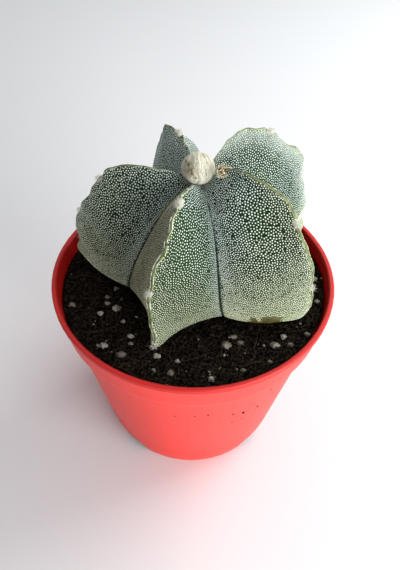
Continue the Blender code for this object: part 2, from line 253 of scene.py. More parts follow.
def soft_lamp(name, azimuth, elevation, distance, size, power, tint):
    """A square lamp that looks at the plant."""
    lamp = bpy.data.lights.new(name, "AREA")
    lamp.size = size
    lamp.energy = power
    lamp.color = tint
    holder = put_in_scene(name, lamp)
    turn, rise = math.radians(azimuth), math.radians(elevation)
    way = Vector((math.cos(turn) * math.cos(rise), math.sin(turn) * math.cos(rise), math.sin(rise)))
    holder.location = AIM + way * distance
    holder.rotation_euler = (-way).to_track_quat("-Z", "Y").to_euler()
    holder.visible_camera = False


for name, settings in LAMPS.items():
    soft_lamp(name, *settings)
print("lamps:", list(LAMPS))

# %% Light the sky
BRIGHT_WAY = (0.6, 0.8, 0.0)
DIM_SKY = (0.63, 0.65, 0.66)
BRIGHT_SKY = (1.31, 1.35, 1.32)
SKY_STRENGTH = 0.48

world = bpy.data.worlds.new("soft_sky")
bpy.context.scene.world = world
world.use_nodes = True
tree = world.node_tree
sky = tree.nodes["Background"]
way = add(tree, "ShaderNodeTexCoord").outputs["Generated"]
behind = ramp(tree, vector_node(tree, "DOT_PRODUCT", way, BRIGHT_WAY), -1.0, 1.0)
tree.links.new(mix(tree, behind, DIM_SKY, BRIGHT_SKY), sky.inputs["Color"])
sky.inputs["Strength"].default_value = SKY_STRENGTH
bpy.context.scene.view_settings.view_transform = "Standard"
print("sky strength:", SKY_STRENGTH)

# %% [markdown]
# ## The pot's plastic
# The pot is thin, satin, coral red plastic. Light passes a little way into it, so a touch of
# subsurface makes the lit side glow pinkish. The lip and the inner wall are painted darker and purer
# red as painted shade, and a pale painted highlight runs along the foot of the band. The imported
# solid already has the right shape, so it only gets this finish, which finds the lip and the inner
# wall by their place.

# %% Finish the pot
BAND_FOOT = 65.5 * MM
LIP_FOOT = 76.0 * MM
LIP_BLUR = 0.4 * MM
# Middle of the wall at the band's foot, and how far it leans out for each step up
WALL_MIDDLE = 48.9 * MM
BAND_LEAN = 0.177
WALL_BLUR = 0.2 * MM
INSIDE_FROM, INSIDE_FULL = 67 * MM, 68 * MM
SPECK_AREA_SHIFT = (0.3, 0.1, 0.0)

plastic, tree, shader = new_finish("red_plastic", 0.45, 0.40)
height = axis_of(tree, place(tree), "Z")
base = mottled(tree, 30 * MM, (0.88, 0.042, 0.032), (0.93, 0.055, 0.042))
# Painted shade: the lip is painted a darker, purer red.
lip = ramp(tree, height, LIP_FOOT - LIP_BLUR, LIP_FOOT + LIP_BLUR)
base = mix(tree, lip, base, (0.60, 0.014, 0.011))
# Painted shade: the inner wall above the mix is painted dark red, for the shade inside the pot.
lean = times(tree, math_node(tree, "SUBTRACT", height, BAND_FOOT), BAND_LEAN)
wall = math_node(tree, "ADD", lean, WALL_MIDDLE)
depth = math_node(tree, "SUBTRACT", wall, away_from_axis(tree, place(tree)))
high_enough = ramp(tree, height, INSIDE_FROM, INSIDE_FULL)
inside = times(tree, ramp(tree, depth, -WALL_BLUR, WALL_BLUR), high_enough)
base = mix(tree, inside, base, (0.38, 0.006, 0.005))
# Painted highlight: a pale line along the foot of the band, where its edge catches the light.
line = ramp(tree, height, BAND_FOOT - 0.2 * MM, BAND_FOOT + 0.5 * MM)
line_end = ramp(tree, height, BAND_FOOT + 0.6 * MM, BAND_FOOT + 1.1 * MM, 1.0, 0.0)
base = mix(tree, times(tree, line, line_end), base, (0.95, 0.11, 0.085))
speck_spots = ramp(tree, grains(tree, 6.0 * MM), 0.035, 0.075, 1.0, 0.0)
speck_area = ramp(tree, cloudy(tree, 26 * MM, 1.0, SPECK_AREA_SHIFT), 0.52, 0.60)
base = mix(tree, times(tree, speck_spots, speck_area), base, (0.12, 0.012, 0.010))
paint(tree, shader, base)
shader.inputs["Subsurface Weight"].default_value = 0.12
shader.inputs["Subsurface Radius"].default_value = (0.004, 0.001, 0.001)
shader.inputs["Subsurface Scale"].default_value = 1.0
raise_surface(tree, shader, cloudy(tree, 1.4 * MM, 4.0), 0.06 * MM, 0.5)

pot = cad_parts["pot"]
pot.data.materials.clear()
pot.data.materials.append(plastic)
print("pot finished:", plastic.name)

# %% [markdown]
# ## The plant's form as a rule
# Each rib is a ridge curve from the crown, over its crest, down to its toe. Two ribs meet in a
# groove curve. Every point of a flank lies between a groove and a ridge, pushed outward so that
# the flank is plump. The knots are the ones the solid was made with, so the fine skin lies where
# the solid does. A grown plant is never even, so this one's dents in its ridges, its fuller or
# hollower shoulders and its pinched toes are added here, with ripples and a rounded crest.

# %% Sizes of the plant
SOIL_LEVEL = 73.5 * MM
PLANT_PLACE = Vector((1.5 * MM, 7.2 * MM, SOIL_LEVEL))
CROWN_HEIGHT = 43.0
RIBS = {
    "front": dict(azimuth=249.5, turn=4, bow=2.8, reach=43.5, crest=50.0, toe=2.6, lean=0.06,
                  swell=1.5, left=-3.3, right=-3.3),
    "right": dict(azimuth=326, turn=2, bow=0, reach=48.8, crest=55.5, toe=2.8, lean=0.04,
                  swell=1.5, left=2.8, right=2.0),
    "back_right": dict(azimuth=392, turn=-15, bow=0, reach=45.8, crest=57.5, toe=5.8, lean=-0.01,
                       swell=1.3, left=-1.0, right=0.5),
    "back_left": dict(azimuth=479, turn=0, bow=0, reach=43.5, crest=53.5, toe=6.6, lean=0.22,
                      swell=0.8, left=-0.5, right=-0.5),
    "left": dict(azimuth=530.5, turn=-4, bow=0, reach=48.8, crest=47.0, toe=2.6, lean=0.06,
                 swell=1.5, left=0.5, right=2.2),
}
RIB_NAMES = list(RIBS)
NEIGHBOURS = {
    (name, side): RIB_NAMES[(i + side) % len(RIBS)]
    for i, name in enumerate(RIB_NAMES) for side in (-1, 1)
}
# Knot numbers of the areoles along each ridge
AREOLES = {
    "front": (3.25, 6.35, 8.7),
    "right": (4.9, 7.15),
    "back_right": (3.85, 6.2, 7.9),
    "back_left": (2.6, 6.2, 7.8),
    "left": (4.7, 6.6, 8.0),
}
# Knots as (radius or share of the reach, height or share of the crest's height)
RIDGE_CROWN = ((3.0, 0.1), (7.0, 0.6), (12.5, 0.92))
RIDGE_FLANK = ((0.43, 1.0), (0.66, 0.92), (0.83, 0.76), (0.945, 0.56), (0.995, 0.33), (0.995, 0.13))
RIDGE_TOE = (0.97, 0.0)
RIDGE_UNDER = ((0.74, 0.0), (0.46, -0.01))
GROOVE = (
    (2.6, 43.0), (7.2, 41.6), (12.0, 38.0), (16.0, 33.4), (19.6, 27.6), (23.0, 21.2),
    (25.8, 15.0), (27.8, 9.4), (28.8, 6.4), (28.4, 4.6), (23.5, 3.4), (16.5, 2.0),
)
ROOT = ((10.0, -2.4), (8.2, -9.0), (5.0, -19.0), (2.4, -27.0))
ROOT_TIP = -30.0
GROOVE_KNOTS = [*GROOVE, *ROOT]
TOE_KNOT = len(RIDGE_CROWN) + len(RIDGE_FLANK)
LAST_KNOT = len(GROOVE_KNOTS) - 1
print("ribs:", RIB_NAMES, "knots along a rib:", LAST_KNOT + 1)

# %% What makes this plant uneven; widths are in knots
RIDGE_SWAY = 0.9 * MM
RIDGE_RIPPLE = 0.35 * MM
AREOLE_NOTCH = 1.3 * MM
NOTCH_WIDTH = 0.3
EDGE_WRIGGLE = 1.3 * MM
EDGE_RIPPLE = 0.7 * MM
EDGE_RISE = Vector((0.0, 0.0, 0.7))
# Knot number and millimetres by which a ridge's edge stands out or in there
EDGE_SHAPE = {
    "back_right": ((4.6, -1.5), (5.75, 1.2), (6.7, -1.5), (7.7, -1.3)),
    "left": ((5.6, -1.6), (6.9, 0.9), (8.0, -1.5)),
}
EDGE_SHAPE_WIDTH = 0.5
# Where one flank bulges more or less: middle knot, width, bulge outward and upward
SHOULDERS = {
    ("back_left", -1): (1.5, 1.1, 4.0 * MM, 2.6 * MM),
    ("front", -1): (5.0, 2.5, -1.6 * MM, 0.0),
}
NO_SHOULDER = (0.0, 1.0, 0.0, 0.0)
TOE_CUTS = {"right": 3.6 * MM, "left": 1.2 * MM}
TOE_CUT_WIDTH = 0.7
FOOT_MIDDLE = -0.3
FOOT_WIDTH = 1.7
CREST_ROUNDING = 0.6 * MM
CREST_SHARE = 0.07
TOE_ROUNDING = 1.9
TOE_ROUNDING_WIDTH = 0.9
FLANK_WAVE = 0.35 * MM
FLANK_WAVE_LENGTH = 9 * MM
SEAM_STEP = 0.013
SEAM_DEPTH = 0.8 * MM
LEAST_CHORD = 0.3 * MM
print("dented ridges:", list(EDGE_SHAPE), "pinched toes:", list(TOE_CUTS))

# %% Small sums
def clamped(value):
    return min(max(value, 0.0), 1.0)


def hump(share):
    """0 at both ends of the share and 1 in its middle."""
    return math.sin(math.pi * clamped(share))


def bell(at, middle, width):
    """1 at the middle, fading to 0 on both sides."""
    return math.exp(-(((at - middle) / width) ** 2))


def level_way(turn):
    """The level direction at an angle around the upright axis."""
    return Vector((math.cos(turn), math.sin(turn), 0.0))


def through(knots, at):
    """A smooth curve through the knots, read at a knot number that may have a fraction."""
    last = len(knots) - 1
    i = min(int(at), last - 1)
    f = at - i
    p1, p2 = Vector(knots[i]), Vector(knots[i + 1])
    p0 = Vector(knots[i - 1]) if i > 0 else 2 * p1 - p2
    p3 = Vector(knots[i + 2]) if i + 2 <= last else 2 * p2 - p1
    return 0.5 * (
        2 * p1
        + (p2 - p0) * f
        + (2 * p0 - 5 * p1 + 4 * p2 - p3) * f * f
        + (3 * p1 - p0 - 3 * p2 + p3) * f * f * f
    )


print("halfway along the groove in mm:", [round(v, 1) for v in through(GROOVE_KNOTS, LAST_KNOT / 2)])

# %% Ridge and groove
def ridge_knots(rib):
    crest, toe = rib["crest"], rib["toe"]
    knots = [(r, CROWN_HEIGHT + s * (crest - CROWN_HEIGHT)) for r, s in RIDGE_CROWN]
    for share, s in (*RIDGE_FLANK, RIDGE_TOE, *RIDGE_UNDER):
        share -= rib["lean"] * max(0.0, math.sin(math.pi * s))
        knots.append((share * rib["reach"], toe + s * (crest - toe)))
    return [*knots, *ROOT]


RIDGES = {name: ridge_knots(rib) for name, rib in RIBS.items()}


def ridge_azimuth(name, at):
    rib = RIBS[name]
    share = min(at / TOE_KNOT, 1.0)
    bow = rib["bow"] * math.sin(2 * math.pi * share)
    return rib["azimuth"] + rib["turn"] * (share - 0.5) + bow


def rib_ways(name, at):
    """The level directions along a rib and across it."""
    along = level_way(math.radians(ridge_azimuth(name, at)))
    return along, Vector((-along.y, along.x, 0.0))


def rib_noise(name, at, rate, row):
    """Noise along a rib, the same each run; rate is its waves for each knot."""
    return noise.noise(Vector((at * rate, RIBS[name]["azimuth"], row)))


def ridge_point(name, at):
    """A point of the ridge, notched at its areoles, swaying and slightly rippled."""
    radius, height = through(RIDGES[name], at) * MM
    free = hump((at - 1.0) / TOE_KNOT)
    notch = sum(bell(at, middle, NOTCH_WIDTH) for middle in AREOLES[name])
    ripple = rib_noise(name, at, 3.1, 0.0)
    radius += (RIDGE_RIPPLE * ripple - AREOLE_NOTCH * (notch - 0.35)) * free
    radius -= TOE_CUTS.get(name, 0.0) * bell(at, TOE_KNOT, TOE_CUT_WIDTH)
    sway = RIDGE_SWAY * math.sin(2.1 * at + RIBS[name]["azimuth"]) * free
    along, across = rib_ways(name, at)
    return along * radius + across * sway + Vector((0.0, 0.0, height))


def edge_wave(name, at):
    """The small wriggle, ripple and dents of a ridge's very edge."""
    along, across = rib_ways(name, at)
    free = hump((at - 0.6) / TOE_KNOT) ** 0.5
    wriggle = EDGE_WRIGGLE * rib_noise(name, at, 2.0, 4.0)
    ripple = EDGE_RIPPLE * rib_noise(name, at, 2.4, 9.0)
    for knot, proud in EDGE_SHAPE.get(name, ()):
        ripple += proud * MM * bell(at, knot, EDGE_SHAPE_WIDTH)
    return (across * wriggle + (along + EDGE_RISE) * ripple) * free


def groove_point(azimuth, at):
    radius, height = through(GROOVE_KNOTS, at) * MM
    return Vector((radius * math.cos(azimuth), radius * math.sin(azimuth), height))


print("toe of the right rib in mm:", [round(v / MM, 1) for v in ridge_point("right", TOE_KNOT)])

# %% A point of a flank
def flank_point(name, side, step, at):
    """A point between the groove (step 0) and the ridge (step 1) on one flank of a rib."""
    own = ridge_azimuth(name, at)
    gap = (ridge_azimuth(NEIGHBOURS[name, side], at) - own) * side % 360
    azimuth = math.radians(own + side * gap / 2)
    ridge, groove = ridge_point(name, at), groove_point(azimuth, at)
    point = groove.lerp(ridge, step) + edge_wave(name, at) * step**6
    chord = Vector((ridge.x - groove.x, ridge.y - groove.y, 0.0))
    if chord.length < LEAST_CHORD:
        return point
    outward = Vector((-chord.y, chord.x, 0.0)).normalized() * side
    open_share = hump(at / (TOE_KNOT + 2.0))
    foot_share = bell(at - TOE_KNOT, FOOT_MIDDLE, FOOT_WIDTH)
    foot = RIBS[name]["left" if side < 0 else "right"] * MM
    arch = 4 * step * (1 - step)
    nearness = (1 - step) / CREST_SHARE
    blunt = 1 + TOE_ROUNDING * bell(at, TOE_KNOT, TOE_ROUNDING_WIDTH)
    crest = CREST_ROUNDING * nearness * math.exp(1 - nearness) * blunt
    wave = noise.noise(point / FLANK_WAVE_LENGTH + Vector((side * 3.0, 0.0, 0.0)))
    point += outward * arch * (RIBS[name]["swell"] * MM * open_share + foot * foot_share)
    point += outward * (crest + FLANK_WAVE * arch * wave) * open_share
    middle, width, bulge, lift = SHOULDERS.get((name, side), NO_SHOULDER)
    share = arch * bell(at, middle, width)
    point += (outward * bulge + Vector((0.0, 0.0, lift))) * share
    seam = bell(step, 0.0, SEAM_STEP) * open_share
    return point - level_way(azimuth) * SEAM_DEPTH * seam


sample = flank_point("right", -1, 0.5, 5.0) + PLANT_PLACE
print("middle of the right rib's flank in mm:", [round(v / MM, 1) for v in sample])

# %% [markdown]
# ## The skin
# The body is one closed surface: columns that run from the crown to the root, and rings across
# them. It is built as a grid in code, because a sculpted sphere would lose the exact rule. Each
# vertex also stores what the finish and the flecks need to know: how near the ridge, the groove
# and the foot it is, how far apart the flecks lie there, and which way leads across the rib.

# %% Columns and rings
FLANK_COLUMNS = 22
RINGS_PER_KNOT = 9
ROOT_RINGS_PER_KNOT = 2


def flank_steps():
    """Steps from groove to ridge, closer together near both."""
    even = [i / FLANK_COLUMNS for i in range(1, FLANK_COLUMNS)]
    return [0.0, 0.010, 0.026, *[0.5 - 0.5 * math.cos(math.pi * (0.12 + 0.88 * e)) for e in even]]


def body_columns():
    """Once round the plant: up each rib's left flank to its ridge, then down its right flank."""
    steps = flank_steps()
    columns = []
    for number, name in enumerate(RIBS):
        columns += [(number, name, -1, step) for step in steps]
        columns += [(number, name, 1, step) for step in (1.0, *reversed(steps[1:]))]
    return columns


def body_rings():
    above = [i / RINGS_PER_KNOT for i in range((TOE_KNOT + 2) * RINGS_PER_KNOT + 1)]
    below = range((TOE_KNOT + 2) * ROOT_RINGS_PER_KNOT + 1, LAST_KNOT * ROOT_RINGS_PER_KNOT + 1)
    return above + [i / ROOT_RINGS_PER_KNOT for i in below]


columns, rings = body_columns(), body_rings()
print("columns:", len(columns), "rings:", len(rings))

# %% What each vertex knows
UNDERSIDE_KNOT = TOE_KNOT + 0.6
CREST_STRIP = 0.982
# Spacing of the flecks in millimetres, at the least and what the open flank adds
SPACING_LEAST, SPACING_GROWTH = 0.66, 0.45
FLECK_SCALE = {"front": 1.06, "right": 0.97, "back_right": 0.92, "back_left": 1.00, "left": 1.00}
FLECK_SIZE = {"front": 0.84, "right": 0.97, "back_right": 0.86, "back_left": 1.10, "left": 1.0}
SHADED_FLANK = 0.80
CORK_PLACE = (25.5 * MM, -21.5 * MM, 76.2 * MM)
CORK_REACH = (10.5 * MM, 9.0 * MM, 7.0 * MM)
CORK_CLEAR = 0.76
CREST_WIDTH = 0.029
GROOVE_WIDTH = 0.12
# Painted light: a paler tone on the whole back-left rib and near the back-right rib's ridge, where
# the light from the right falls
PAINTED_LIGHT_SHARE = {"back_left": 0.55, "back_right": 1.0}
PAINTED_LIGHT_FROM = {"back_left": -0.3, "back_right": 0.7}
FOOT_PALENESS = {"front": 0.35, "right": 1.0, "back_right": 0.5, "back_left": 0.5, "left": 0.35}
SKIN_ATTRIBUTES = ("crest", "groove", "seam", "pale", "foot", "spacing", "rib")


def cork_distance(point):
    """Distance from the corky mark at the right rib's foot, 1 at its rim, a little uneven."""
    shares = [(p - c) / r for p, c, r in zip(point, CORK_PLACE, CORK_REACH)]
    return Vector(shares).length + 0.3 * noise.noise(point / (2 * MM))


def fleck_spacing(name, side, step, at, point):
    """Distance between flecks: wide on the open flank, close near the groove, crown and foot."""
    bare = at > UNDERSIDE_KNOT or not SEAM_STEP < step < CREST_STRIP
    if bare or cork_distance(point) < CORK_CLEAR:
        return 0.0
    across = math.sin(math.pi * min(step, 0.93) ** 1.3) ** 0.7
    along = hump((at + 0.9) / 9.6) ** 1.5
    shade = SHADED_FLANK if (name, side) == ("front", -1) else 1.0
    return FLECK_SCALE[name] * shade * (SPACING_LEAST + SPACING_GROWTH * across * along) * MM


def skin_values(name, side, step, at, point):
    """What the finish and the flecks need to know at one vertex."""
    return {
        "crest": bell(step, 1.0, CREST_WIDTH) * min(at / 2.0, 1.0),
        # Painted shade: the grooves' paler tone fades out towards the crown, so they stay dark round
        # the bud.
        "groove": bell(step, 0.0, GROOVE_WIDTH) * min(at / 3.0, 1.0),
        "seam": bell(step, 0.0, SEAM_STEP) * min(at, 1.0),
        "pale": PAINTED_LIGHT_SHARE.get(name, 0.0) * clamped((step - PAINTED_LIGHT_FROM.get(name, 0.0)) / 0.3),
        "foot": clamped((at - 5.4) / 3.2) ** 1.4 * FOOT_PALENESS[name],
        "spacing": fleck_spacing(name, side, step, at, point),
    }


print("values at each vertex:", SKIN_ATTRIBUTES)

# %% Build the body
CROWN_DIP = 0.3
HALF_STEP = 0.03


def close_rings(bm, rings, poles):
    """Quads from ring to ring, and a fan from the first and the last ring to its pole."""
    count = len(rings[0])
    after = [(i + 1) % count for i in range(count)]
    for upper, lower in zip(rings, rings[1:]):
        for i, j in enumerate(after):
            bm.faces.new((upper[i], lower[i], lower[j], upper[j]))
    for ring, pole in zip((rings[0], rings[-1]), poles):
        for i, j in enumerate(after):
            bm.faces.new((ring[i], ring[j], pole))


def smooth_mesh(name, bm):
    """A smooth mesh from a bmesh, with its faces turned outward."""
    bmesh.ops.recalc_face_normals(bm, faces=bm.faces)
    mesh = bpy.data.meshes.new(name)
    bm.to_mesh(mesh)
    bm.free()
    mesh.shade_smooth()
    return mesh


bm = bmesh.new()
layer = {name: bm.verts.layers.float.new(name) for name in SKIN_ATTRIBUTES}
across_layer = bm.verts.layers.float_vector.new("across")
body_rows = []
for at in rings:
    row = []
    for number, name, side, step in columns:
        vertex = bm.verts.new(PLANT_PLACE + flank_point(name, side, step, at))
        for value_name, value in skin_values(name, side, step, at, vertex.co).items():
            vertex[layer[value_name]] = value
        vertex[layer["rib"]] = number
        ahead = flank_point(name, side, min(step + HALF_STEP, 1.0), at)
        way = ahead - flank_point(name, side, max(step - HALF_STEP, 0.0), at)
        vertex[across_layer] = way.normalized() if way.length else (1, 0, 0)
        row.append(vertex)
    body_rows.append(row)
body_poles = []
for top in (CROWN_HEIGHT - CROWN_DIP, ROOT_TIP):
    pole = bm.verts.new(PLANT_PLACE + Vector((0.0, 0.0, top * MM)))
    pole[across_layer] = (1, 0, 0)
    body_poles.append(pole)
close_rings(bm, body_rows, body_poles)
body_mesh = smooth_mesh("cactus_skin_body", bm)
print("body faces:", len(body_mesh.polygons))

# %% [markdown]
# ## The skin's colour
# Between the flecks the skin is a deep green. It turns yellow-green along the ridges, a cool
# grey-green in the grooves, and pale and yellowish near the mix, with a corky brown mark at the
# right rib's foot. The front rib's left flank is painted a warm brown-grey as painted shade, the two
# back ribs are painted paler where the light falls on them, and the very bottom of each groove is
# painted near black as painted shade. The stored values say where each tone belongs, which a
# painted picture would need a map for. A fine dust of flecks too small to model is dotted between
# the large ones.

# %% Finish the skin
# Where the painted warm shade lies: the front rib's left flank, as angles around the plant's axis
WARM_SHADE_WEDGE = (-2.64, -1.93)
WARM_SHADE_SOFTNESS = 0.05
WARM_SHADE_SHARE = 0.8


def from_plant(tree):
    return vector_node(tree, "SUBTRACT", place(tree), PLANT_PLACE)


def warm_shade_wedge(tree):
    """Painted warm shade, full on the front rib's left flank, found by the azimuth around the plant's
    axis.
    """
    where = from_plant(tree)
    turned = math_node(tree, "ARCTAN2", axis_of(tree, where, "Y"), axis_of(tree, where, "X"))
    first, last = WARM_SHADE_WEDGE
    inside = ramp(tree, turned, first - WARM_SHADE_SOFTNESS, first + WARM_SHADE_SOFTNESS, 0.0, WARM_SHADE_SHARE)
    return times(tree, inside, ramp(tree, turned, last - WARM_SHADE_SOFTNESS, last, 1.0, 0.0))


skin, tree, shader = new_finish("cactus_skin", 0.66, 0.15)
tone = mottled(tree, 9 * MM, (0.004, 0.016, 0.003), (0.014, 0.042, 0.009))
tone = mix(tree, attribute(tree, "groove"), tone, (0.095, 0.130, 0.118))
# Painted light: the back ribs are painted paler where they are lit.
tone = mix(tree, attribute(tree, "pale"), tone, (0.260, 0.290, 0.240))
tone = mix(tree, attribute(tree, "foot"), tone, (0.180, 0.215, 0.110))
# Painted shade: the front rib's left flank is tinted warm brown-grey, for shade lit by warm light
# thrown back from the pot.
tone = mix(tree, warm_shade_wedge(tree), tone, (0.070, 0.066, 0.036))
dashes = ramp(tree, cloudy(tree, 1.5 * MM), 0.50, 0.66)
crest_tone = mix(tree, dashes, (0.18, 0.205, 0.075), (0.035, 0.050, 0.014))
tone = mix(tree, attribute(tree, "crest"), tone, crest_tone)
dust = ramp(tree, grains(tree, 0.55 * MM), 0.20, 0.42, 0.06, 0.0)
tone = mix(tree, dust, tone, (0.34, 0.40, 0.30))
# Painted shade: the very bottom of each groove is painted near black, for the shade deep in the
# crease.
tone = mix(tree, attribute(tree, "seam"), tone, (0.015, 0.020, 0.012))
from_cork = vector_node(tree, "SUBTRACT", place(tree), CORK_PLACE)
cork_share = length_of(tree, vector_node(tree, "DIVIDE", from_cork, CORK_REACH))
cork = ramp(tree, cork_share, 0.6, 1.0, 0.95, 0.0)
cork_spots = ramp(tree, cloudy(tree, 3 * MM), 0.4, 0.6)
cork_tone = mix(tree, cork_spots, (0.13, 0.080, 0.020), (0.055, 0.070, 0.016))
paint(tree, shader, mix(tree, cork, tone, cork_tone))
raise_surface(tree, shader, cloudy(tree, 1.2 * MM, 4.0), 0.15 * MM, 0.6)


def add_piece(name, mesh):
    """A finished mesh as a piece that rides on the root."""
    piece = put_in_scene(name, mesh)
    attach(piece, "root")
    print(f"{name}: {len(mesh.polygons)} faces")
    return piece


body_mesh.materials.append(skin)
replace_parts(add_piece("cactus_skin_body", body_mesh), "cactus_body")

# %% [markdown]
# ## White flecks with Geometry Nodes
# Each fleck on the real skin is a tiny tuft of white hairs. The flecks keep an even distance, like
# bubbles that push each other apart: wide on the open flank, and so close near the grooves and the
# foot that they join into short wavy lines. Bump in the skin's finish would look flat from the
# side, so the flecks are real geometry, placed by one tree that runs once for each rib.

# %% Fleck finish
fleck_finish, tree, shader = new_finish("fleck_wool", 0.95)
level = axis_of(tree, place(tree), "Z")
high_up = ramp(tree, level, 76 * MM, 108 * MM)
fleck_tone = mix(tree, high_up, (0.83, 0.88, 0.57), (0.86, 0.93, 0.76))
fleck_tone = mix(tree, cloudy(tree, 5 * MM), fleck_tone, (0.94, 0.98, 0.83))
# Painted light: flecks near the crown and on the plant's upper back are tinted blue, for the sky
# light that falls on them there.
reach = away_from_axis(tree, from_plant(tree))
near_crown = times(tree, high_up, ramp(tree, reach, 14 * MM, 36 * MM, 0.7, 0.0))
behind = ramp(tree, axis_of(tree, from_plant(tree), "Y"), 0.0, 12 * MM, 0.0, 0.8)
far_side = times(tree, ramp(tree, level, 84 * MM, 100 * MM), behind)
painted_sky_tint = math_node(tree, "MAXIMUM", near_crown, far_side)
fleck_tone = mix(tree, painted_sky_tint, fleck_tone, (0.82, 0.95, 0.97))
# Painted shade: the flecks on the front rib's left flank are dimmed to a warm grey.
paint(tree, shader, mix(tree, warm_shade_wedge(tree), fleck_tone, (0.66, 0.62, 0.42)))
print("fleck finish:", fleck_finish.name)

# %% Helpers for Geometry Nodes
def new_tree(name):
    tree = bpy.data.node_groups.new(name, "GeometryNodeTree")
    tree.interface.new_socket("Geometry", in_out="OUTPUT", socket_type="NodeSocketGeometry")
    tree.interface.new_socket("Geometry", in_out="INPUT", socket_type="NodeSocketGeometry")
    return tree


def tree_input(tree, name, kind, value=None):
    """A named input; its identifier is what the modifier is set by."""
    socket = tree.interface.new_socket(name, in_out="INPUT", socket_type="NodeSocket" + kind)
    if value is not None:
        socket.default_value = value
    return socket.identifier


def stored(tree, name, kind="FLOAT"):
    made = add(tree, "GeometryNodeInputNamedAttribute", {"Name": name}, data_type=kind)
    return made.outputs["Attribute"]


def from_surface(tree, surface, value, where, kind="FLOAT"):
    """A value of the surface at the place nearest to a point."""
    return add(
        tree, "GeometryNodeSampleNearestSurface",
        {"Mesh": surface, "Value": value, "Sample Position": where}, data_type=kind,
    ).outputs["Value"]


def random_value(tree, low, high, seed=0, kind="FLOAT"):
    return add(
        tree, "FunctionNodeRandomValue", {"Min": low, "Max": high, "Seed": seed}, data_type=kind
    ).outputs["Value"]


def turned_to(tree, way, axis, pivot="AUTO", **inputs):
    """A rotation that points one axis along a direction."""
    return add(
        tree, "FunctionNodeAlignRotationToVector", {"Vector": way, **inputs},
        axis=axis, pivot_axis=pivot,
    ).outputs["Rotation"]


def end_tree(tree, geometry, finish):
    """Every tree ends with real geometry, shaded smooth, in its finish."""
    real = add(tree, "GeometryNodeRealizeInstances", {"Geometry": geometry})
    smooth = add(tree, "GeometryNodeSetShadeSmooth", {"Geometry": real.outputs["Geometry"]})
    painted = add(
        tree, "GeometryNodeSetMaterial", {"Geometry": smooth.outputs["Geometry"], "Material": finish}
    )
    result = tree.nodes.new("NodeGroupOutput")
    tree.links.new(painted.outputs["Geometry"], result.inputs["Geometry"])
    print(f"{tree.name} tree: {len(tree.nodes)} nodes")


def made_by_tree(name, source, tree, inputs):
    """Run a tree on a mesh and keep the result as a plain piece."""
    helper = put_in_scene(name + "_helper", source)
    modifier = helper.modifiers.new("tree", "NODES")
    modifier.node_group = tree
    for identifier, value in inputs.items():
        modifier[identifier] = value
    graph = bpy.context.evaluated_depsgraph_get()
    mesh = bpy.data.meshes.new_from_object(helper.evaluated_get(graph))
    bpy.data.objects.remove(helper)
    mesh.name = name
    for stale in (*SKIN_ATTRIBUTES, "across", "thickness"):
        if stale in mesh.attributes:
            mesh.attributes.remove(mesh.attributes[stale])
    return add_piece(name, mesh)


print("tree helpers are ready")

# %% [markdown]
# ## A rough start for the flecks
# Poisson scattering keeps a least distance between points, but only one for a whole surface. The
# skin is therefore split into zones by the spacing stored on it, and each zone is scattered with
# its own distance. The start is a little too dense, so that pushing apart fills every gap.

# %% Scatter the points
FLECK_ZONES = ((0.38, 0.56), (0.56, 0.68), (0.68, 0.80), (0.80, 0.93), (0.93, 1.06), (1.06, 1.30))
ZONE_MARGIN = 0.06
START_SHARE = 0.74
CANDIDATES = 14.0
FLECK_ROUNDS = 24

flecks = new_tree("white_flecks")
RIB_INPUT = tree_input(flecks, "Rib", "Float", 0.0)
SIZE_INPUT = tree_input(flecks, "Size", "Float", 1.0)
ROUNDS_INPUT = tree_input(flecks, "Rounds", "Int", FLECK_ROUNDS)
SEED_INPUT = tree_input(flecks, "Seed", "Int", 1)
given = flecks.nodes.new("NodeGroupInput").outputs
skin_surface = given["Geometry"]
rib_offset = math_node(flecks, "SUBTRACT", stored(flecks, "rib"), given["Rib"])
own_rib = math_node(flecks, "LESS_THAN", math_node(flecks, "ABSOLUTE", rib_offset, 0.0), 0.5)
start = flecks.nodes.new("GeometryNodeJoinGeometry")
for low, high in FLECK_ZONES:
    wide_enough = math_node(flecks, "GREATER_THAN", stored(flecks, "spacing"), low * MM)
    narrow_enough = math_node(flecks, "LESS_THAN", stored(flecks, "spacing"), high * MM)
    inside = times(flecks, wide_enough, narrow_enough)
    gap = START_SHARE * (low + ZONE_MARGIN) * MM
    scatter = add(
        flecks, "GeometryNodeDistributePointsOnFaces",
        {
            "Mesh": skin_surface,
            "Selection": times(flecks, own_rib, inside),
            "Distance Min": gap,
            "Density Max": CANDIDATES / gap**2,
            "Seed": given["Seed"],
        },
        distribute_method="POISSON",
    )
    flecks.links.new(scatter.outputs["Points"], start.inputs["Geometry"])
print("zones of the fleck tree:", len(FLECK_ZONES))

# %% [markdown]
# ## Pushing the flecks apart
# A rough scatter has clumps and holes, and real flecks don't. A repeat zone moves each point away
# from its nearest neighbour, by a share of what is missing to the spacing stored on the skin, and
# puts it back onto the skin. After some rounds the points lie as evenly as the real flecks.

# %% Push the flecks apart
PUSH_SHARE = 0.45

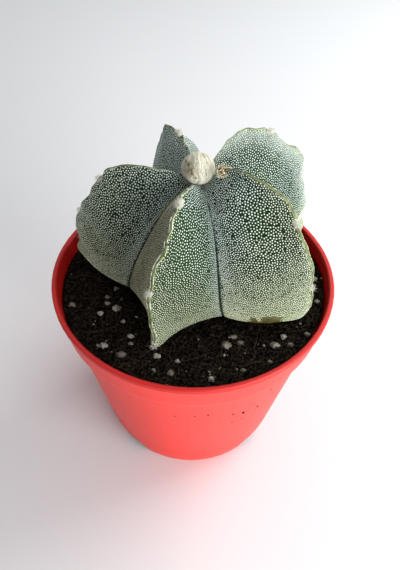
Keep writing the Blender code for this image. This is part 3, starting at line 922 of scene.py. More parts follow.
again = flecks.nodes.new("GeometryNodeRepeatInput")
done = flecks.nodes.new("GeometryNodeRepeatOutput")
again.pair_with_output(done)
flecks.links.new(given["Rounds"], again.inputs["Iterations"])
flecks.links.new(start.outputs["Geometry"], again.inputs["Geometry"])
here = add(flecks, "GeometryNodeInputPosition").outputs["Position"]
nearest = add(flecks, "GeometryNodeIndexOfNearest").outputs["Index"]
neighbour_place = add(
    flecks, "GeometryNodeFieldAtIndex", {"Value": here, "Index": nearest}, data_type="FLOAT_VECTOR"
).outputs["Value"]
away = vector_node(flecks, "SUBTRACT", here, neighbour_place)
direction = add(flecks, "ShaderNodeVectorMath", {0: away}, operation="NORMALIZE").outputs["Vector"]
wanted = from_surface(flecks, skin_surface, stored(flecks, "spacing"), here)
too_near = math_node(flecks, "SUBTRACT", wanted, length_of(flecks, away))
push = times(flecks, math_node(flecks, "MAXIMUM", too_near, 0.0), PUSH_SHARE)
pushed = add(
    flecks, "GeometryNodeSetPosition",
    {"Geometry": again.outputs["Geometry"], "Offset": scaled(flecks, direction, push)},
).outputs["Geometry"]
on_skin = add(
    flecks, "GeometryNodeProximity", {"Geometry": skin_surface}, target_element="FACES"
).outputs["Position"]
settled = add(flecks, "GeometryNodeSetPosition", {"Geometry": pushed, "Position": on_skin})
flecks.links.new(settled.outputs["Geometry"], done.inputs["Geometry"])
print("rounds of pushing:", FLECK_ROUNDS)

# %% [markdown]
# ## The shape of a fleck
# There are thousands of flecks, so one is only a low double cone of twelve faces, which smooth
# shading turns into a soft dot. Its size follows the spacing, and where the spacing is close it is
# stretched across the rib, so that neighbours join into short lines as on the plant.

# %% Put a fleck on every point
FLECK_FLATNESS = 0.55
FLECK_SHARE = 0.25
FLECK_LEAST = 0.06 * MM
FLECK_VARIES = (0.86, 1.14)
JOINED_SPACING = 0.50 * MM
SINGLE_SPACING = 0.80 * MM
LONGEST_STRETCH = 1.9

ball = add(flecks, "GeometryNodeMeshUVSphere", {"Segments": 6, "Rings": 2, "Radius": 1.0})
fleck = add(
    flecks, "GeometryNodeTransform",
    {"Geometry": ball.outputs["Mesh"], "Scale": (1.0, 1.0, FLECK_FLATNESS)},
).outputs["Geometry"]
normal = add(flecks, "GeometryNodeInputNormal").outputs["Normal"]
across = stored(flecks, "across", "FLOAT_VECTOR")
skin_normal, skin_across = (
    from_surface(flecks, skin_surface, value, here, "FLOAT_VECTOR") for value in (normal, across)
)
upright = turned_to(flecks, skin_normal, "Z")
aligned = turned_to(flecks, skin_across, "X", "Z", Rotation=upright)
own_spacing = from_surface(flecks, skin_surface, stored(flecks, "spacing"), here)
radius = math_node(flecks, "ADD", times(flecks, own_spacing, FLECK_SHARE), FLECK_LEAST)
size = times(flecks, times(flecks, radius, random_value(flecks, *FLECK_VARIES)), given["Size"])
stretch = add(
    flecks, "ShaderNodeMapRange",
    {"Value": own_spacing, "From Min": JOINED_SPACING, "From Max": SINGLE_SPACING,
     "To Min": LONGEST_STRETCH, "To Max": 1.0},
).outputs["Result"]
fleck_scale = add(
    flecks, "ShaderNodeCombineXYZ", {"X": times(flecks, size, stretch), "Y": size, "Z": size}
).outputs["Vector"]
dots = add(
    flecks, "GeometryNodeInstanceOnPoints",
    {"Points": done.outputs["Geometry"], "Instance": fleck, "Rotation": aligned,
     "Scale": fleck_scale},
)
end_tree(flecks, dots.outputs["Instances"], fleck_finish)

# %% Scatter the flecks rib by rib
FIRST_FLECK_SEED = 5

for number, name in enumerate(RIBS):
    inputs = {
        RIB_INPUT: float(number), SIZE_INPUT: FLECK_SIZE[name],
        ROUNDS_INPUT: FLECK_ROUNDS, SEED_INPUT: FIRST_FLECK_SEED + number,
    }
    made_by_tree(f"flecks_{name}", body_mesh, flecks, inputs)

# %% [markdown]
# ## Lines that become strands
# Ridge cords, hairs, wool and the fibres in the mix are all thin strands along a path. A mesh made
# only of edges holds the paths, with a thickness stored at each point. One tree turns such a mesh
# into curves and sweeps a small ring along them, so every strand tapers as its thickness says.

# %% Build the strand tree
strands = new_tree("strands")
SIDES_INPUT = tree_input(strands, "Sides", "Int", 4)
FINISH_INPUT = tree_input(strands, "Finish", "Material")
given = strands.nodes.new("NodeGroupInput").outputs
curve = add(strands, "GeometryNodeMeshToCurve", {"Mesh": given["Geometry"]}).outputs["Curve"]
ring = add(
    strands, "GeometryNodeCurvePrimitiveCircle", {"Resolution": given["Sides"], "Radius": 1.0}
).outputs["Curve"]
swept = add(
    strands, "GeometryNodeCurveToMesh",
    {"Curve": curve, "Profile Curve": ring, "Scale": stored(strands, "thickness"), "Fill Caps": True},
).outputs["Mesh"]
end_tree(strands, swept, given["Finish"])


def strand_piece(name, lines, finish, sides=4):
    """A piece made of strands; a line is a list of (place, thickness)."""
    vertices, edges, thicknesses = [], [], []
    for line in lines:
        first = len(vertices)
        edges += [(first + i, first + i + 1) for i in range(len(line) - 1)]
        vertices += [place for place, _ in line]
        thicknesses += [thickness for _, thickness in line]
    mesh = bpy.data.meshes.new(name + "_paths")
    mesh.from_pydata(vertices, edges, [])
    mesh.attributes.new("thickness", "FLOAT", "POINT").data.foreach_set("value", thicknesses)
    made_by_tree(name, mesh, strands, {SIDES_INPUT: sides, FINISH_INPUT: finish})
    print(f"{name}: {len(lines)} strands")


# %% [markdown]
# ## Cords along the ridges
# On each side of a ridge the flecks run together into a pale knobbly cord, with a green strip
# between the two cords. A cord could be painted, but its knobs break the ridge's outline, so it is
# a strand. It follows the ridge rule a little way down the flank, sways and swells with noise.

# %% Lay the ridge cords
CORD_STEP = 0.983
CORD_SWAY = 0.010
FRONT_CORD, THIN_CORD = 0.115 * MM, 0.055 * MM
CORD_FIRST, CORD_LAST = 0.9, 9.3
CORD_POINTS = 260
SWAY_RATE, KNOB_RATE = 2.6, 9.0


def ridge_cord(name, side):
    """The path of one cord, with its knobs."""
    middle = FRONT_CORD if name == "front" else THIN_CORD
    line = []
    for i in range(CORD_POINTS):
        at = CORD_FIRST + (CORD_LAST - CORD_FIRST) * i / (CORD_POINTS - 1)
        sway = noise.noise(Vector((at * SWAY_RATE, side * 7.0, RIBS[name]["azimuth"])))
        knob = noise.noise(Vector((at * KNOB_RATE, side * 3.0, RIBS[name]["azimuth"])))
        where = PLANT_PLACE + flank_point(name, side, CORD_STEP + CORD_SWAY * sway, at)
        end_taper = min(1.0, 0.2 + 10.0 * i / CORD_POINTS, 0.2 + 10.0 * (1 - (i + 1) / CORD_POINTS))
        line.append((where, middle * max(0.9 + 2.2 * knob, 0.2) * end_taper))
    return line


cord_finish = mottled_finish("ridge_cord", 0.9, 4 * MM, (0.52, 0.57, 0.42), (0.78, 0.81, 0.70))
cord_lines = [ridge_cord(name, side) for name in RIBS for side in (-1, 1)]
strand_piece("ridge_cords", cord_lines, cord_finish, sides=6)

# %% [markdown]
# ## Areoles
# An areole is a felt pad on the ridge from which spines would grow; this species has none, only
# short woolly hair. Each pad is a lumpy ball pressed onto the ridge. The pads lie where the solid
# has its bumps, apart from the front rib's top one, which sits slightly further down its ridge.

# %% Lumpy balls
def lumpy_ball(bm, where, radius, shape, roughness, lump, seed, subdivisions=3):
    """An icosphere with noise; shape holds its three scales."""
    made = bmesh.ops.create_icosphere(bm, subdivisions=subdivisions, radius=1.0)
    for vertex in made["verts"]:
        way = vertex.co.normalized()
        bump = noise.noise(way * (radius / lump) + Vector((seed * 1.7, seed * 0.9, seed)))
        grown = way * radius * (1 + roughness * bump)
        vertex.co = where + Vector((grown.x * shape[0], grown.y * shape[1], grown.z * shape[2]))


def lumpy_piece(name, bm, finish):
    mesh = smooth_mesh(name, bm)
    mesh.materials.append(finish)
    return add_piece(name, mesh)


print("lumpy balls are ready")

# %% Felt pads
PAD_RADIUS = 1.25 * MM
PAD_ROUGHNESS = 0.35
PAD_LUMP = 0.7 * MM
PAD_STRETCH = 0.35
PAD_SQUASH = 0.35
PAD_SINK = 0.45 * MM
TOP_PAD_GROWTH = 1.3
RIB_HEART = Vector((0.0, 0.0, 12 * MM))

pad_finish, tree, shader = new_finish("areole_felt", 0.95)
pad_tone = mottled(tree, 1.1 * MM, (0.34, 0.31, 0.23), (0.64, 0.63, 0.56))
pits = ramp(tree, grains(tree, 1.5 * MM), 0.12, 0.30, 0.8, 0.0)
paint(tree, shader, mix(tree, pits, pad_tone, (0.11, 0.075, 0.05)))
raise_surface(tree, shader, cloudy(tree, 0.3 * MM), 0.2 * MM, 0.8)

areole_places = [(name, at) for name, knots in AREOLES.items() for at in knots]
bm = bmesh.new()
for i, (name, at) in enumerate(areole_places):
    first = len(bm.verts)
    radius = PAD_RADIUS * (TOP_PAD_GROWTH if at == AREOLES["front"][0] else 1.0)
    lumpy_ball(bm, Vector(), radius, (1.0, 1.0, 1.0), PAD_ROUGHNESS, PAD_LUMP, i)
    along = (ridge_point(name, at + 0.2) - ridge_point(name, at - 0.2)).normalized()
    out = (ridge_point(name, at) - RIB_HEART).normalized()
    bm.verts.ensure_lookup_table()
    for vertex in bm.verts[first:]:
        stretched = vertex.co + along * PAD_STRETCH * vertex.co.dot(along)
        stretched -= out * (PAD_SQUASH * vertex.co.dot(out) + PAD_SINK)
        vertex.co = PLANT_PLACE + ridge_point(name, at) + edge_wave(name, at) + stretched
lumpy_piece("areole_pads", bm, pad_finish)

# %% [markdown]
# ## Hairs of the pads
# Short woolly hairs stand out from each pad and bend over. Particle hair would not survive the
# export as a mesh, so each hair is a short tapering strand with a seeded direction.

# %% Grow the hairs
HAIRS_PER_PAD = 44
HAIR_LENGTHS = (0.4, 1.1)
HAIR_THICKNESS = 0.075 * MM
HAIR_ROOT_SHARE = 0.7


def unit(draw):
    """A random direction."""
    return Vector((draw.gauss(0, 1), draw.gauss(0, 1), draw.gauss(0, 1))).normalized()


def short_hair(root, way, length, thickness, bend, points=5):
    """A tapering hair that leaves its root along way and bends over."""
    line = []
    for i in range(points):
        share = i / (points - 1)
        where = root + way * (length * share) + bend * (length * share * share)
        line.append((where, thickness * (1 - 0.75 * share)))
    return line


hair_finish = mottled_finish("areole_hair", 0.85, 1.5 * MM, (0.60, 0.58, 0.50), (0.78, 0.77, 0.71))
draw = random.Random(21)
hair_lines = []
for name, at in areole_places:
    root = ridge_point(name, at) + edge_wave(name, at)
    outward = (root - RIB_HEART).normalized()
    for _ in range(HAIRS_PER_PAD):
        way = (0.9 * outward + 0.85 * unit(draw)).normalized()
        start_at = PLANT_PLACE + root + way * HAIR_ROOT_SHARE * PAD_RADIUS
        length = draw.uniform(*HAIR_LENGTHS) * MM
        hair_lines.append(short_hair(start_at, way, length, HAIR_THICKNESS, 0.5 * unit(draw)))
strand_piece("areole_hairs", hair_lines, hair_finish, sides=3)

# %% [markdown]
# ## The woolly bud
# A flower bud sits on the crown, wrapped in long silky hair that is combed over it from one end to
# the other. Strands alone would show the plant through their gaps, so a tan core lies under them
# and carries the colour between the locks.

# %% The bud's core
WOOL_CENTRE = Vector((PLANT_PLACE.x - 0.7 * MM, PLANT_PLACE.y, SOIL_LEVEL + 48.8 * MM))
WOOL_RADIUS = 5.7 * MM
WOOL_SQUASH = 0.96
CORE_SHARE = 0.93
CORE_SEED = 3

core_finish = mottled_finish("wool_core", 0.95, 2.2 * MM, (0.56, 0.51, 0.37), (0.70, 0.66, 0.51))
bm = bmesh.new()
core_shape = (1.0, 1.0, WOOL_SQUASH)
lumpy_ball(bm, WOOL_CENTRE, WOOL_RADIUS * CORE_SHARE, core_shape, 0.05, 2.0 * MM, CORE_SEED, 4)
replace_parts(lumpy_piece("bud_core", bm, core_finish), "crown_wool")

# %% [markdown]
# ## The bud's silky strands
# The hair runs like meridians around a leaning axis and is gathered in locks. Each strand is a
# path on the ball, with a seeded start, end, lift and twist. The tan shade on the bud's lower left
# is a soft spot in the finish, where the brown tips show through.

# %% Comb the strands
WOOL_AXIS = Vector((0.16, 0.62, 0.77)).normalized()
LOCKS = 52
STRANDS_PER_LOCK = 15
STRAND_POINTS = 15
LOOSE_STRANDS = 90
LOOSE_THICKNESS = 0.055 * MM
LOCK_SPREAD = 0.40
# Millimetres to the right of the bud's centre, up, and towards the camera
TAN_SPOT = (-3.0, -1.8, 4.6)


def on_face(right, up, nearer):
    """A step from the bud's centre, in millimetres as the camera sees it."""
    return CAMERA_RIGHT * right * MM + CAMERA_UP * up * MM - CAMERA_FORWARD * nearer * MM


wool_finish, tree, shader = new_finish("bud_wool", 0.8)
wool_tone = mottled(tree, 1.6 * MM, (0.64, 0.60, 0.47), (0.81, 0.785, 0.68))
tan_distance = vector_node(tree, "DISTANCE", place(tree), WOOL_CENTRE + on_face(*TAN_SPOT))
tan = times(tree, ramp(tree, tan_distance, 1.0 * MM, 4.2 * MM, 1.0, 0.0), cloudy(tree, 0.9 * MM))
paint(tree, shader, mix(tree, tan, wool_tone, (0.22, 0.15, 0.055)))
shader.inputs["Sheen Weight"].default_value = 0.15

side_a = WOOL_AXIS.cross(Vector((0, 0, 1))).normalized()
side_b = WOOL_AXIS.cross(side_a).normalized()
draw = random.Random(8)


def wool_strand(turn, reach_from, reach_to, lift, thickness, twist):
    """A strand along a meridian of the bud, from one latitude to another."""
    line = []
    for i in range(STRAND_POINTS):
        share = i / (STRAND_POINTS - 1)
        latitude = reach_from + (reach_to - reach_from) * share
        wave = 0.16 * noise.noise(Vector((turn * 1.3, latitude * 1.6, 1.0)))
        angle = turn + twist * (latitude - math.pi / 2) + wave
        ring_way = side_a * math.cos(angle) + side_b * math.sin(angle)
        way = WOOL_AXIS * math.cos(latitude) + ring_way * math.sin(latitude)
        height = WOOL_RADIUS * (0.95 + lift * math.sin(math.pi * share) ** 0.5)
        where = Vector((way.x, way.y, way.z * WOOL_SQUASH)) * height
        line.append((WOOL_CENTRE + where, thickness * (0.35 + 0.65 * math.sin(math.pi * share))))
    return line


wool_lines = []
for lock in range(LOCKS):
    lock_turn = 2 * math.pi * (lock + draw.uniform(-0.3, 0.3)) / LOCKS
    lock_twist = 0.28 + draw.uniform(-0.08, 0.08)
    for _ in range(STRANDS_PER_LOCK):
        turn = lock_turn + draw.gauss(0, LOCK_SPREAD) * 2 * math.pi / LOCKS
        wool_lines.append(wool_strand(
            turn, draw.uniform(0.03, 0.35), math.pi - draw.uniform(0.03, 0.35),
            draw.uniform(0.0, 0.035), draw.uniform(0.07, 0.13) * MM, lock_twist,
        ))
for _ in range(LOOSE_STRANDS):
    start_at = draw.uniform(0.2, 1.6)
    wool_lines.append(wool_strand(
        draw.uniform(0.0, 2 * math.pi), start_at, start_at + draw.uniform(0.5, 1.3),
        draw.uniform(0.05, 0.11), LOOSE_THICKNESS, draw.uniform(-0.3, 0.9),
    ))
strand_piece("bud_strands", wool_lines, wool_finish, sides=3)

# %% [markdown]
# ## Brown tips and the wool round the bud's base
# A few brown bristle tips show through the hair on the bud's lower left, and felt fills the corner
# where the bud meets the crown. Both are the short hairs of the areoles again, thicker for the
# tips, so no new tool is needed. The tips' places are read from the bud as the camera sees it.

# %% Set the tips and the base wool
# Tips in millimetres to the right of the bud's centre and up from it
TIPS = (
    (-3.0, -0.4), (-2.3, -2.7), (-3.7, -1.9), (-2.8, -1.5), (-1.5, -3.1), (-4.0, 1.3), (-0.7, -3.9),
    (-2.0, -2.0), (-3.3, 0.4),
)
HAIRS_PER_TIP = 3
TIP_THICKNESS = 0.15 * MM
TIP_SCATTER = 0.25 * MM
BASE_HAIRS = 120
BASE_DROP = Vector((0.0, 0.0, -4.0 * MM))
BASE_LIFT = Vector((0.0, 0.0, 0.2))
BASE_THICKNESS = 0.11 * MM

tip_finish = mottled_finish("bud_tips", 0.8, 0.8 * MM, (0.06, 0.042, 0.012), (0.24, 0.18, 0.06))
tip_lines = []
for right, up in TIPS:
    nearer = math.sqrt(max((WOOL_RADIUS / MM) ** 2 - right**2 - up**2, 0.0))
    for _ in range(HAIRS_PER_TIP):
        lean = (CAMERA_UP * 0.8 + 0.5 * unit(draw)).normalized()
        root = WOOL_CENTRE + on_face(right, up, nearer) + TIP_SCATTER * unit(draw)
        length = draw.uniform(0.6, 1.2) * MM
        tip_lines.append(short_hair(root, lean, length, TIP_THICKNESS, 0.3 * unit(draw)))
strand_piece("bud_tips", tip_lines, tip_finish, sides=5)

base_lines = []
for i in range(BASE_HAIRS):
    outward = level_way(2 * math.pi * i / BASE_HAIRS)
    root = WOOL_CENTRE + outward * draw.uniform(3.2, 4.6) * MM + BASE_DROP
    way = (outward + 0.5 * unit(draw) + BASE_LIFT).normalized()
    length = draw.uniform(1.2, 2.4) * MM
    base_lines.append(short_hair(root, way, length, BASE_THICKNESS, 0.4 * unit(draw)))
strand_piece("bud_base_wool", base_lines, pad_finish)

# %% [markdown]
# ## The dried flower
# Beside the bud lies what is left of a withered flower: a tan, crumpled tuft of curled petal ends.
# Folded petal sheets would be lost at this size, so a lumpy core holds the tuft together and many
# short strands curl over it in all directions.

# %% Dried flower
FLOWER_RADIUS = 2.45 * MM
FLOWER_REACH = 9.3 * MM
FLOWER_HEIGHT = 51.9 * MM
FLOWER_SHAPE = (1.15, 1.0, 0.6)
FLOWER_CORE_SHARE = 0.8
FLOWER_SEED = 12
CURLS = 110
CURL_SHAPE = (1.25, 1.1, 0.6)
CURL_ROOT_SHARE = 0.85

flower_way = level_way(math.radians(ridge_azimuth("right", 1.0)))
FLOWER_CENTRE = PLANT_PLACE + flower_way * FLOWER_REACH + Vector((0.0, 0.0, FLOWER_HEIGHT))
dry_finish, tree, shader = new_finish("dry_petals", 0.9)
dry_lumps = ramp(tree, cloudy(tree, 0.45 * MM), 0.35, 0.62)
paint(tree, shader, mix(tree, dry_lumps, (0.48, 0.37, 0.19), (0.95, 0.88, 0.70)))
bm = bmesh.new()
core_radius = FLOWER_RADIUS * FLOWER_CORE_SHARE
lumpy_ball(bm, FLOWER_CENTRE, core_radius, FLOWER_SHAPE, 0.3, 0.9 * MM, FLOWER_SEED, 4)
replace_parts(lumpy_piece("dried_flower_core", bm, tip_finish), "dried_flower")

curl_lines = []
for _ in range(CURLS):
    way = unit(draw)
    root = Vector([share * part for share, part in zip(CURL_SHAPE, way)]) * FLOWER_RADIUS
    sideways = way.cross(unit(draw)).normalized()
    heading = (0.55 * way + sideways).normalized()
    length, thickness = draw.uniform(1.0, 2.2) * MM, draw.uniform(0.18, 0.32) * MM
    start_at = FLOWER_CENTRE + root * CURL_ROOT_SHARE
    curl_lines.append(short_hair(start_at, heading, length, thickness, -0.6 * way))
strand_piece("dried_flower_curls", curl_lines, dry_finish)

# %% [markdown]
# ## Potting mix
# The mix is peat: near-black crumbs and thin brown fibres, with white perlite grains scattered in
# it. The closed body of the mix is turned from rings like the solid, with a finer crumbly top.
# Displacement on a flat disc would do as well, but the rings keep the rule of the solid.

# %% Sizes of the mix
RIM_RADIUS = 52.5 * MM
LIP_PROUD = 0.7 * MM
BAND_HEIGHT = 13.0 * MM
BAND_FOOT_RADIUS = 49.5 * MM
WALL = 1.2 * MM
GAP = 0.3 * MM
SOIL_RELIEF = 0.55 * MM
SOIL_LUMP = 6 * MM
SOIL_RIGHT_RISE = 1.2 * MM
SOIL_DISH = 2.0 * MM
SOIL_DISH_RADIUS = 30.0 * MM
CRUMBLE = 0.8 * MM
CRUMBLE_LUMP = 1.6 * MM
SOIL_SPOKES = 180
SOIL_TOP_RINGS = 52
# Radius and height of the rings below the top
SOIL_SIDE = (
    (47.8 * MM, 67.9 * MM), (46.5 * MM, 65.0 * MM), (35.3 * MM, 9.0 * MM), (32.5 * MM, 1.5 * MM)
)
UNDER_PLANT = 17 * MM


def pot_inner_radius(z):
    """Radius of the pot's inner wall within the band."""
    share = (z - BAND_FOOT) / BAND_HEIGHT
    return BAND_FOOT_RADIUS + share * (RIM_RADIUS - LIP_PROUD - BAND_FOOT_RADIUS) - WALL


def from_stem(x, y):
    """Level distance from the plant's axis."""
    return math.hypot(x - PLANT_PLACE.x, y - PLANT_PLACE.y)


def soil_height(x, y):
    """Height of the mix: it rises to the right, dips under the plant and is lumpy."""
    dish = max(0.0, 1.0 - from_stem(x, y) / SOIL_DISH_RADIUS)
    lump = noise.noise(Vector((x, y, 0.0)) / SOIL_LUMP)
    return SOIL_LEVEL + SOIL_RIGHT_RISE * (x / RIM_RADIUS) - SOIL_DISH * dish + SOIL_RELIEF * lump


def crumbly_height(x, y):
    """The same height with small crumbs on it."""
    fine = noise.turbulence(Vector((x, y, 0.0)) / CRUMBLE_LUMP, 3, False)
    return soil_height(x, y) + CRUMBLE * (fine - 0.3)


top_radius = pot_inner_radius(SOIL_LEVEL) - 2 * GAP
print("radius of the mix's top in mm:", round(top_radius / MM, 1))

# %% Turn the body of the mix
mix_finish, tree, shader = new_finish("peat_mix", 0.9, 0.05)
# Partly real and partly painted shade: the peat is dark, and its near-black patches stand for the
# shade in the gaps between crumbs.
clumps_and_gap_shade = ramp(tree, cloudy(tree, 0.9 * MM), 0.38, 0.72)
paint(tree, shader, mix(tree, clumps_and_gap_shade, (0.0008, 0.0005, 0.0004), (0.040, 0.028, 0.020)))
raise_surface(tree, shader, cloudy(tree, 0.5 * MM, 5.0), 0.6 * MM)

spokes = [2 * math.pi * k / SOIL_SPOKES for k in range(SOIL_SPOKES)]
bm = bmesh.new()
top_layer = bm.verts.layers.float.new("top")
soil_rings = []
for i in range(1, SOIL_TOP_RINGS + 1):
    radius = top_radius * i / SOIL_TOP_RINGS
    flat = [(radius * math.cos(turn), radius * math.sin(turn)) for turn in spokes]
    soil_rings.append([bm.verts.new((x, y, crumbly_height(x, y))) for x, y in flat])
for radius, height in SOIL_SIDE:
    around = [(radius * math.cos(turn), radius * math.sin(turn), height) for turn in spokes]
    soil_rings.append([bm.verts.new(corner) for corner in around])
pole_heights = (crumbly_height(0.0, 0.0), SOIL_SIDE[-1][1])
soil_poles = [bm.verts.new((0.0, 0.0, height)) for height in pole_heights]
close_rings(bm, soil_rings, soil_poles)
for ring in soil_rings[: SOIL_TOP_RINGS - 1]:
    for vertex in ring:
        vertex[top_layer] = 1.0 if from_stem(vertex.co.x, vertex.co.y) > UNDER_PLANT else 0.0
mix_piece = lumpy_piece("mix_body", bm, mix_finish)
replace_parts(mix_piece, "soil")

# %% [markdown]
# ## Crumbs and perlite at the solid's places
# The solid has its larger crumbs and white grains fused into its top. They lie here at the same
# places, from the same seeded draws, so that both models agree. A few grains are added where the
# mix shows openly in front of the plant.

# %% Large crumbs and grains
CRUMB_COUNT = 46
PERLITE_COUNT = 22
GRAIN_SEED = 11
GRAIN_CLEAR_OF_PLANT = 22.0 * MM
GRAIN_CLEAR_OF_POT = 3.5 * MM
# Place and radius in millimetres
OPEN_GRAINS = (
    (-24.5, -34.0, 1.6), (-31.0, -30.0, 1.4), (-21.5, -29.0, 1.0), (-28.0, -13.0, 1.5),
    (-33.5, -15.5, 1.2), (-25.0, -19.0, 0.9), (-44.5, -11.0, 1.3), (-12.0, -34.5, 1.3),
    (7.0, -44.0, 1.2), (12.0, -29.5, 1.7), (17.0, -28.5, 1.2), (29.0, -29.5, 1.6),
    (34.5, -29.0, 1.0), (41.0, -24.5, 1.1), (46.0, 2.5, 1.2), (46.0, -9.0, 1.1),
)
OPEN_SQUASH = 0.8


def grain_places():
    """The seeded places of the solid's crumbs and grains: (x, y, radius, squash)."""
    draw = random.Random(GRAIN_SEED)
    found = []
    edge = pot_inner_radius(SOIL_LEVEL) - GRAIN_CLEAR_OF_POT
    while len(found) < CRUMB_COUNT + PERLITE_COUNT:
        angle = draw.uniform(0, 2 * math.pi)
        reach = edge * math.sqrt(draw.random())
        x, y = reach * math.cos(angle), reach * math.sin(angle)
        crumb = len(found) < CRUMB_COUNT
        radius = draw.uniform(0.8, 1.5) * MM if crumb else draw.uniform(0.7, 1.2) * MM
        # The second draw is the solid's turn of the grain; it keeps the later draws in step
        squash, _ = draw.uniform(0.65, 1.0), draw.uniform(0, 6.28)
        if from_stem(x, y) >= GRAIN_CLEAR_OF_PLANT:
            found.append((x, y, radius, squash))
    return found + [(x * MM, y * MM, radius * MM, OPEN_SQUASH) for x, y, radius in OPEN_GRAINS]


perlite_finish, tree, shader = new_finish("perlite", 0.85)
perlite_tone = mottled(tree, 1.3 * MM, (0.22, 0.20, 0.17), (0.62, 0.61, 0.57))
stained = ramp(tree, cloudy(tree, 6.0 * MM, 1.0), 0.42, 0.62, 0.85, 0.1)
perlite_tone = mix(tree, stained, perlite_tone, (0.13, 0.105, 0.08))
pits = ramp(tree, grains(tree, 0.7 * MM), 0.10, 0.30, 0.5, 0.0)
paint(tree, shader, mix(tree, pits, perlite_tone, (0.16, 0.13, 0.10)))
raise_surface(tree, shader, cloudy(tree, 0.5 * MM), 0.3 * MM, 0.8)

crumbs, perlite = bmesh.new(), bmesh.new()
for i, (x, y, radius, squash) in enumerate(grain_places()):
    where = Vector((x, y, soil_height(x, y) - 0.1 * radius))
    target = crumbs if i < CRUMB_COUNT else perlite
    lumpy_ball(target, where, radius, (1.0, squash, 0.75), 0.55, 0.8 * MM, i)
lumpy_piece("large_crumbs", crumbs, mix_finish)
lumpy_piece("perlite_grains", perlite, perlite_finish)

# %% [markdown]
# ## Loose grains
# Between the large crumbs the whole top is littered with small ones. A tree scatters one rough
# nugget over the top, turned any way and mostly small, and the same tree makes crumbs and perlite
# with other inputs. The nugget has only twenty faces, because there are so many of them.

# %% Build the scatter tree
SMALLNESS = 2.5

loose = new_tree("loose_grains")
AMOUNT_INPUT = tree_input(loose, "Amount per square metre", "Float", 1.0e5)
SMALL_INPUT = tree_input(loose, "Smallest", "Float", 0.2 * MM)
LARGE_INPUT = tree_input(loose, "Largest", "Float", 0.8 * MM)
GRAIN_SEED_INPUT = tree_input(loose, "Seed", "Int", 1)
GRAIN_FINISH_INPUT = tree_input(loose, "Finish", "Material")
given = loose.nodes.new("NodeGroupInput").outputs
spots = add(
    loose, "GeometryNodeDistributePointsOnFaces",
    {
        "Mesh": given["Geometry"],
        "Selection": math_node(loose, "GREATER_THAN", stored(loose, "top"), 0.5),
        "Density": given["Amount per square metre"],
        "Seed": given["Seed"],
    },
    distribute_method="RANDOM",
).outputs["Points"]
nugget = add(loose, "GeometryNodeMeshIcoSphere", {"Radius": 1.0, "Subdivisions": 1}).outputs["Mesh"]
corner_shift = random_value(loose, (-0.3, -0.3, -0.3), (0.3, 0.3, 0.3), kind="FLOAT_VECTOR")
rough_nugget = add(
    loose, "GeometryNodeSetPosition", {"Geometry": nugget, "Offset": corner_shift}
).outputs["Geometry"]
any_turn = random_value(loose, (0.0, 0.0, 0.0), (6.28, 6.28, 6.28), 2, "FLOAT_VECTOR")
turned_any_way = add(loose, "FunctionNodeEulerToRotation", {"Euler": any_turn}).outputs["Rotation"]
mostly_small = math_node(loose, "POWER", random_value(loose, 0.0, 1.0, 3), SMALLNESS)
extra = times(loose, mostly_small, math_node(loose, "SUBTRACT", given["Largest"], given["Smallest"]))
grain_size = math_node(loose, "ADD", given["Smallest"], extra)
flattening = random_value(loose, (0.7, 0.5, 0.5), (1.3, 1.0, 0.9), 4, "FLOAT_VECTOR")
lying = add(
    loose, "GeometryNodeInstanceOnPoints",
    {"Points": spots, "Instance": rough_nugget, "Rotation": turned_any_way,
     "Scale": scaled(loose, flattening, grain_size)},
)
end_tree(loose, lying.outputs["Instances"], given["Finish"])

# %% Scatter crumbs and perlite
# Amount for each square metre, smallest and largest size, seed, finish
LOOSE_GRAINS = {
    "small_crumbs": (9.0e5, 0.22 * MM, 0.95 * MM, 4, mix_finish),
    "small_perlite": (2.6e4, 0.16 * MM, 0.75 * MM, 9, perlite_finish),
}

grain_inputs = (AMOUNT_INPUT, SMALL_INPUT, LARGE_INPUT, GRAIN_SEED_INPUT, GRAIN_FINISH_INPUT)
for name, values in LOOSE_GRAINS.items():
    made_by_tree(name, mix_piece.data, loose, dict(zip(grain_inputs, values)))

# %% [markdown]
# ## Fibres in the mix
# Thin brown peat fibres lie on the crumbs in slow bends. Each is a strand that walks over the top
# in ten steps, turning a little at each, with its middle lifted clear of the crumbs.

# %% Fibres
FIBRES = 330
FIBRE_STEPS = 9
FIBRE_CLEAR_OF_PLANT = 20 * MM
FIBRE_LIFT = 0.15 * MM

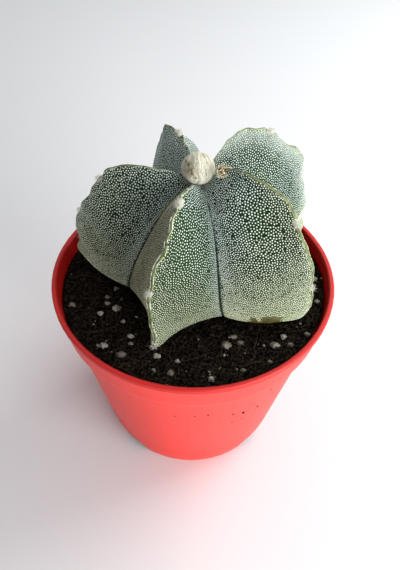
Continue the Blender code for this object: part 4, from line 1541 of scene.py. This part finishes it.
fibre_finish = mottled_finish("peat_fibre", 0.9, 5 * MM, (0.012, 0.008, 0.005), (0.125, 0.085, 0.05))
draw = random.Random(33)
fibre_lines = []
while len(fibre_lines) < FIBRES:
    angle, reach = draw.uniform(0, 2 * math.pi), (top_radius - 2 * MM) * math.sqrt(draw.random())
    where = Vector((reach * math.cos(angle), reach * math.sin(angle), 0.0))
    if (where.xy - PLANT_PLACE.xy).length < FIBRE_CLEAR_OF_PLANT:
        continue
    heading, curl = draw.uniform(0, 2 * math.pi), draw.gauss(0, 0.22)
    length, arch = draw.uniform(3, 13) * MM, draw.uniform(0.1, 1.1) * MM
    thickness = draw.uniform(0.06, 0.13) * MM
    line = []
    for i in range(FIBRE_STEPS + 1):
        share = i / FIBRE_STEPS
        where += level_way(heading) * (length / FIBRE_STEPS)
        heading += curl
        if where.xy.length > top_radius - 1 * MM:
            break
        height = crumbly_height(where.x, where.y) + FIBRE_LIFT + arch * math.sin(math.pi * share)
        line.append((Vector((where.x, where.y, height)), thickness * (1 - 0.6 * share)))
    if len(line) > 4:
        fibre_lines.append(line)
strand_piece("peat_fibres", fibre_lines, fibre_finish, sides=3)

# %% [markdown]
# ## Specks on the pot
# A few crumbs of mix stick to the pot's front under the band. Painted dots would have no shadow,
# so they are small flattened lumps on the wall, placed by azimuth and height.

# %% Specks
CHAMFER_RADIUS = 36.1 * MM
CHAMFER_HEIGHT = 7.0 * MM
BODY_TOP_RADIUS = 47.9 * MM
SPECK_GROWTH = 1.4
SPECK_SHAPE = (1.0, 1.0, 0.8)
# Azimuth in degrees, height in millimetres, radius in millimetres
SPECKS = (
    (-69.5, 49.0, 0.32), (-64.0, 47.0, 0.42), (-55.5, 46.0, 0.30), (-82.0, 53.0, 0.26),
    (-88.0, 52.5, 0.22), (-97.0, 51.5, 0.24), (-68.5, 40.5, 0.26), (-51.0, 56.5, 0.24),
    (-63.0, 40.5, 0.20), (-75.0, 46.0, 0.18), (-59.0, 51.0, 0.20), (-47.0, 50.0, 0.18),
)

bm = bmesh.new()
for i, (azimuth, height, radius) in enumerate(SPECKS):
    share = (height * MM - CHAMFER_HEIGHT) / (BAND_FOOT - CHAMFER_HEIGHT)
    wall_radius = CHAMFER_RADIUS + share * (BODY_TOP_RADIUS - CHAMFER_RADIUS)
    where = level_way(math.radians(azimuth)) * wall_radius + Vector((0.0, 0.0, height * MM))
    lumpy_ball(bm, where, SPECK_GROWTH * radius * MM, SPECK_SHAPE, 0.4, 0.3 * MM, i, 2)
lumpy_piece("pot_specks", bm, mix_finish)
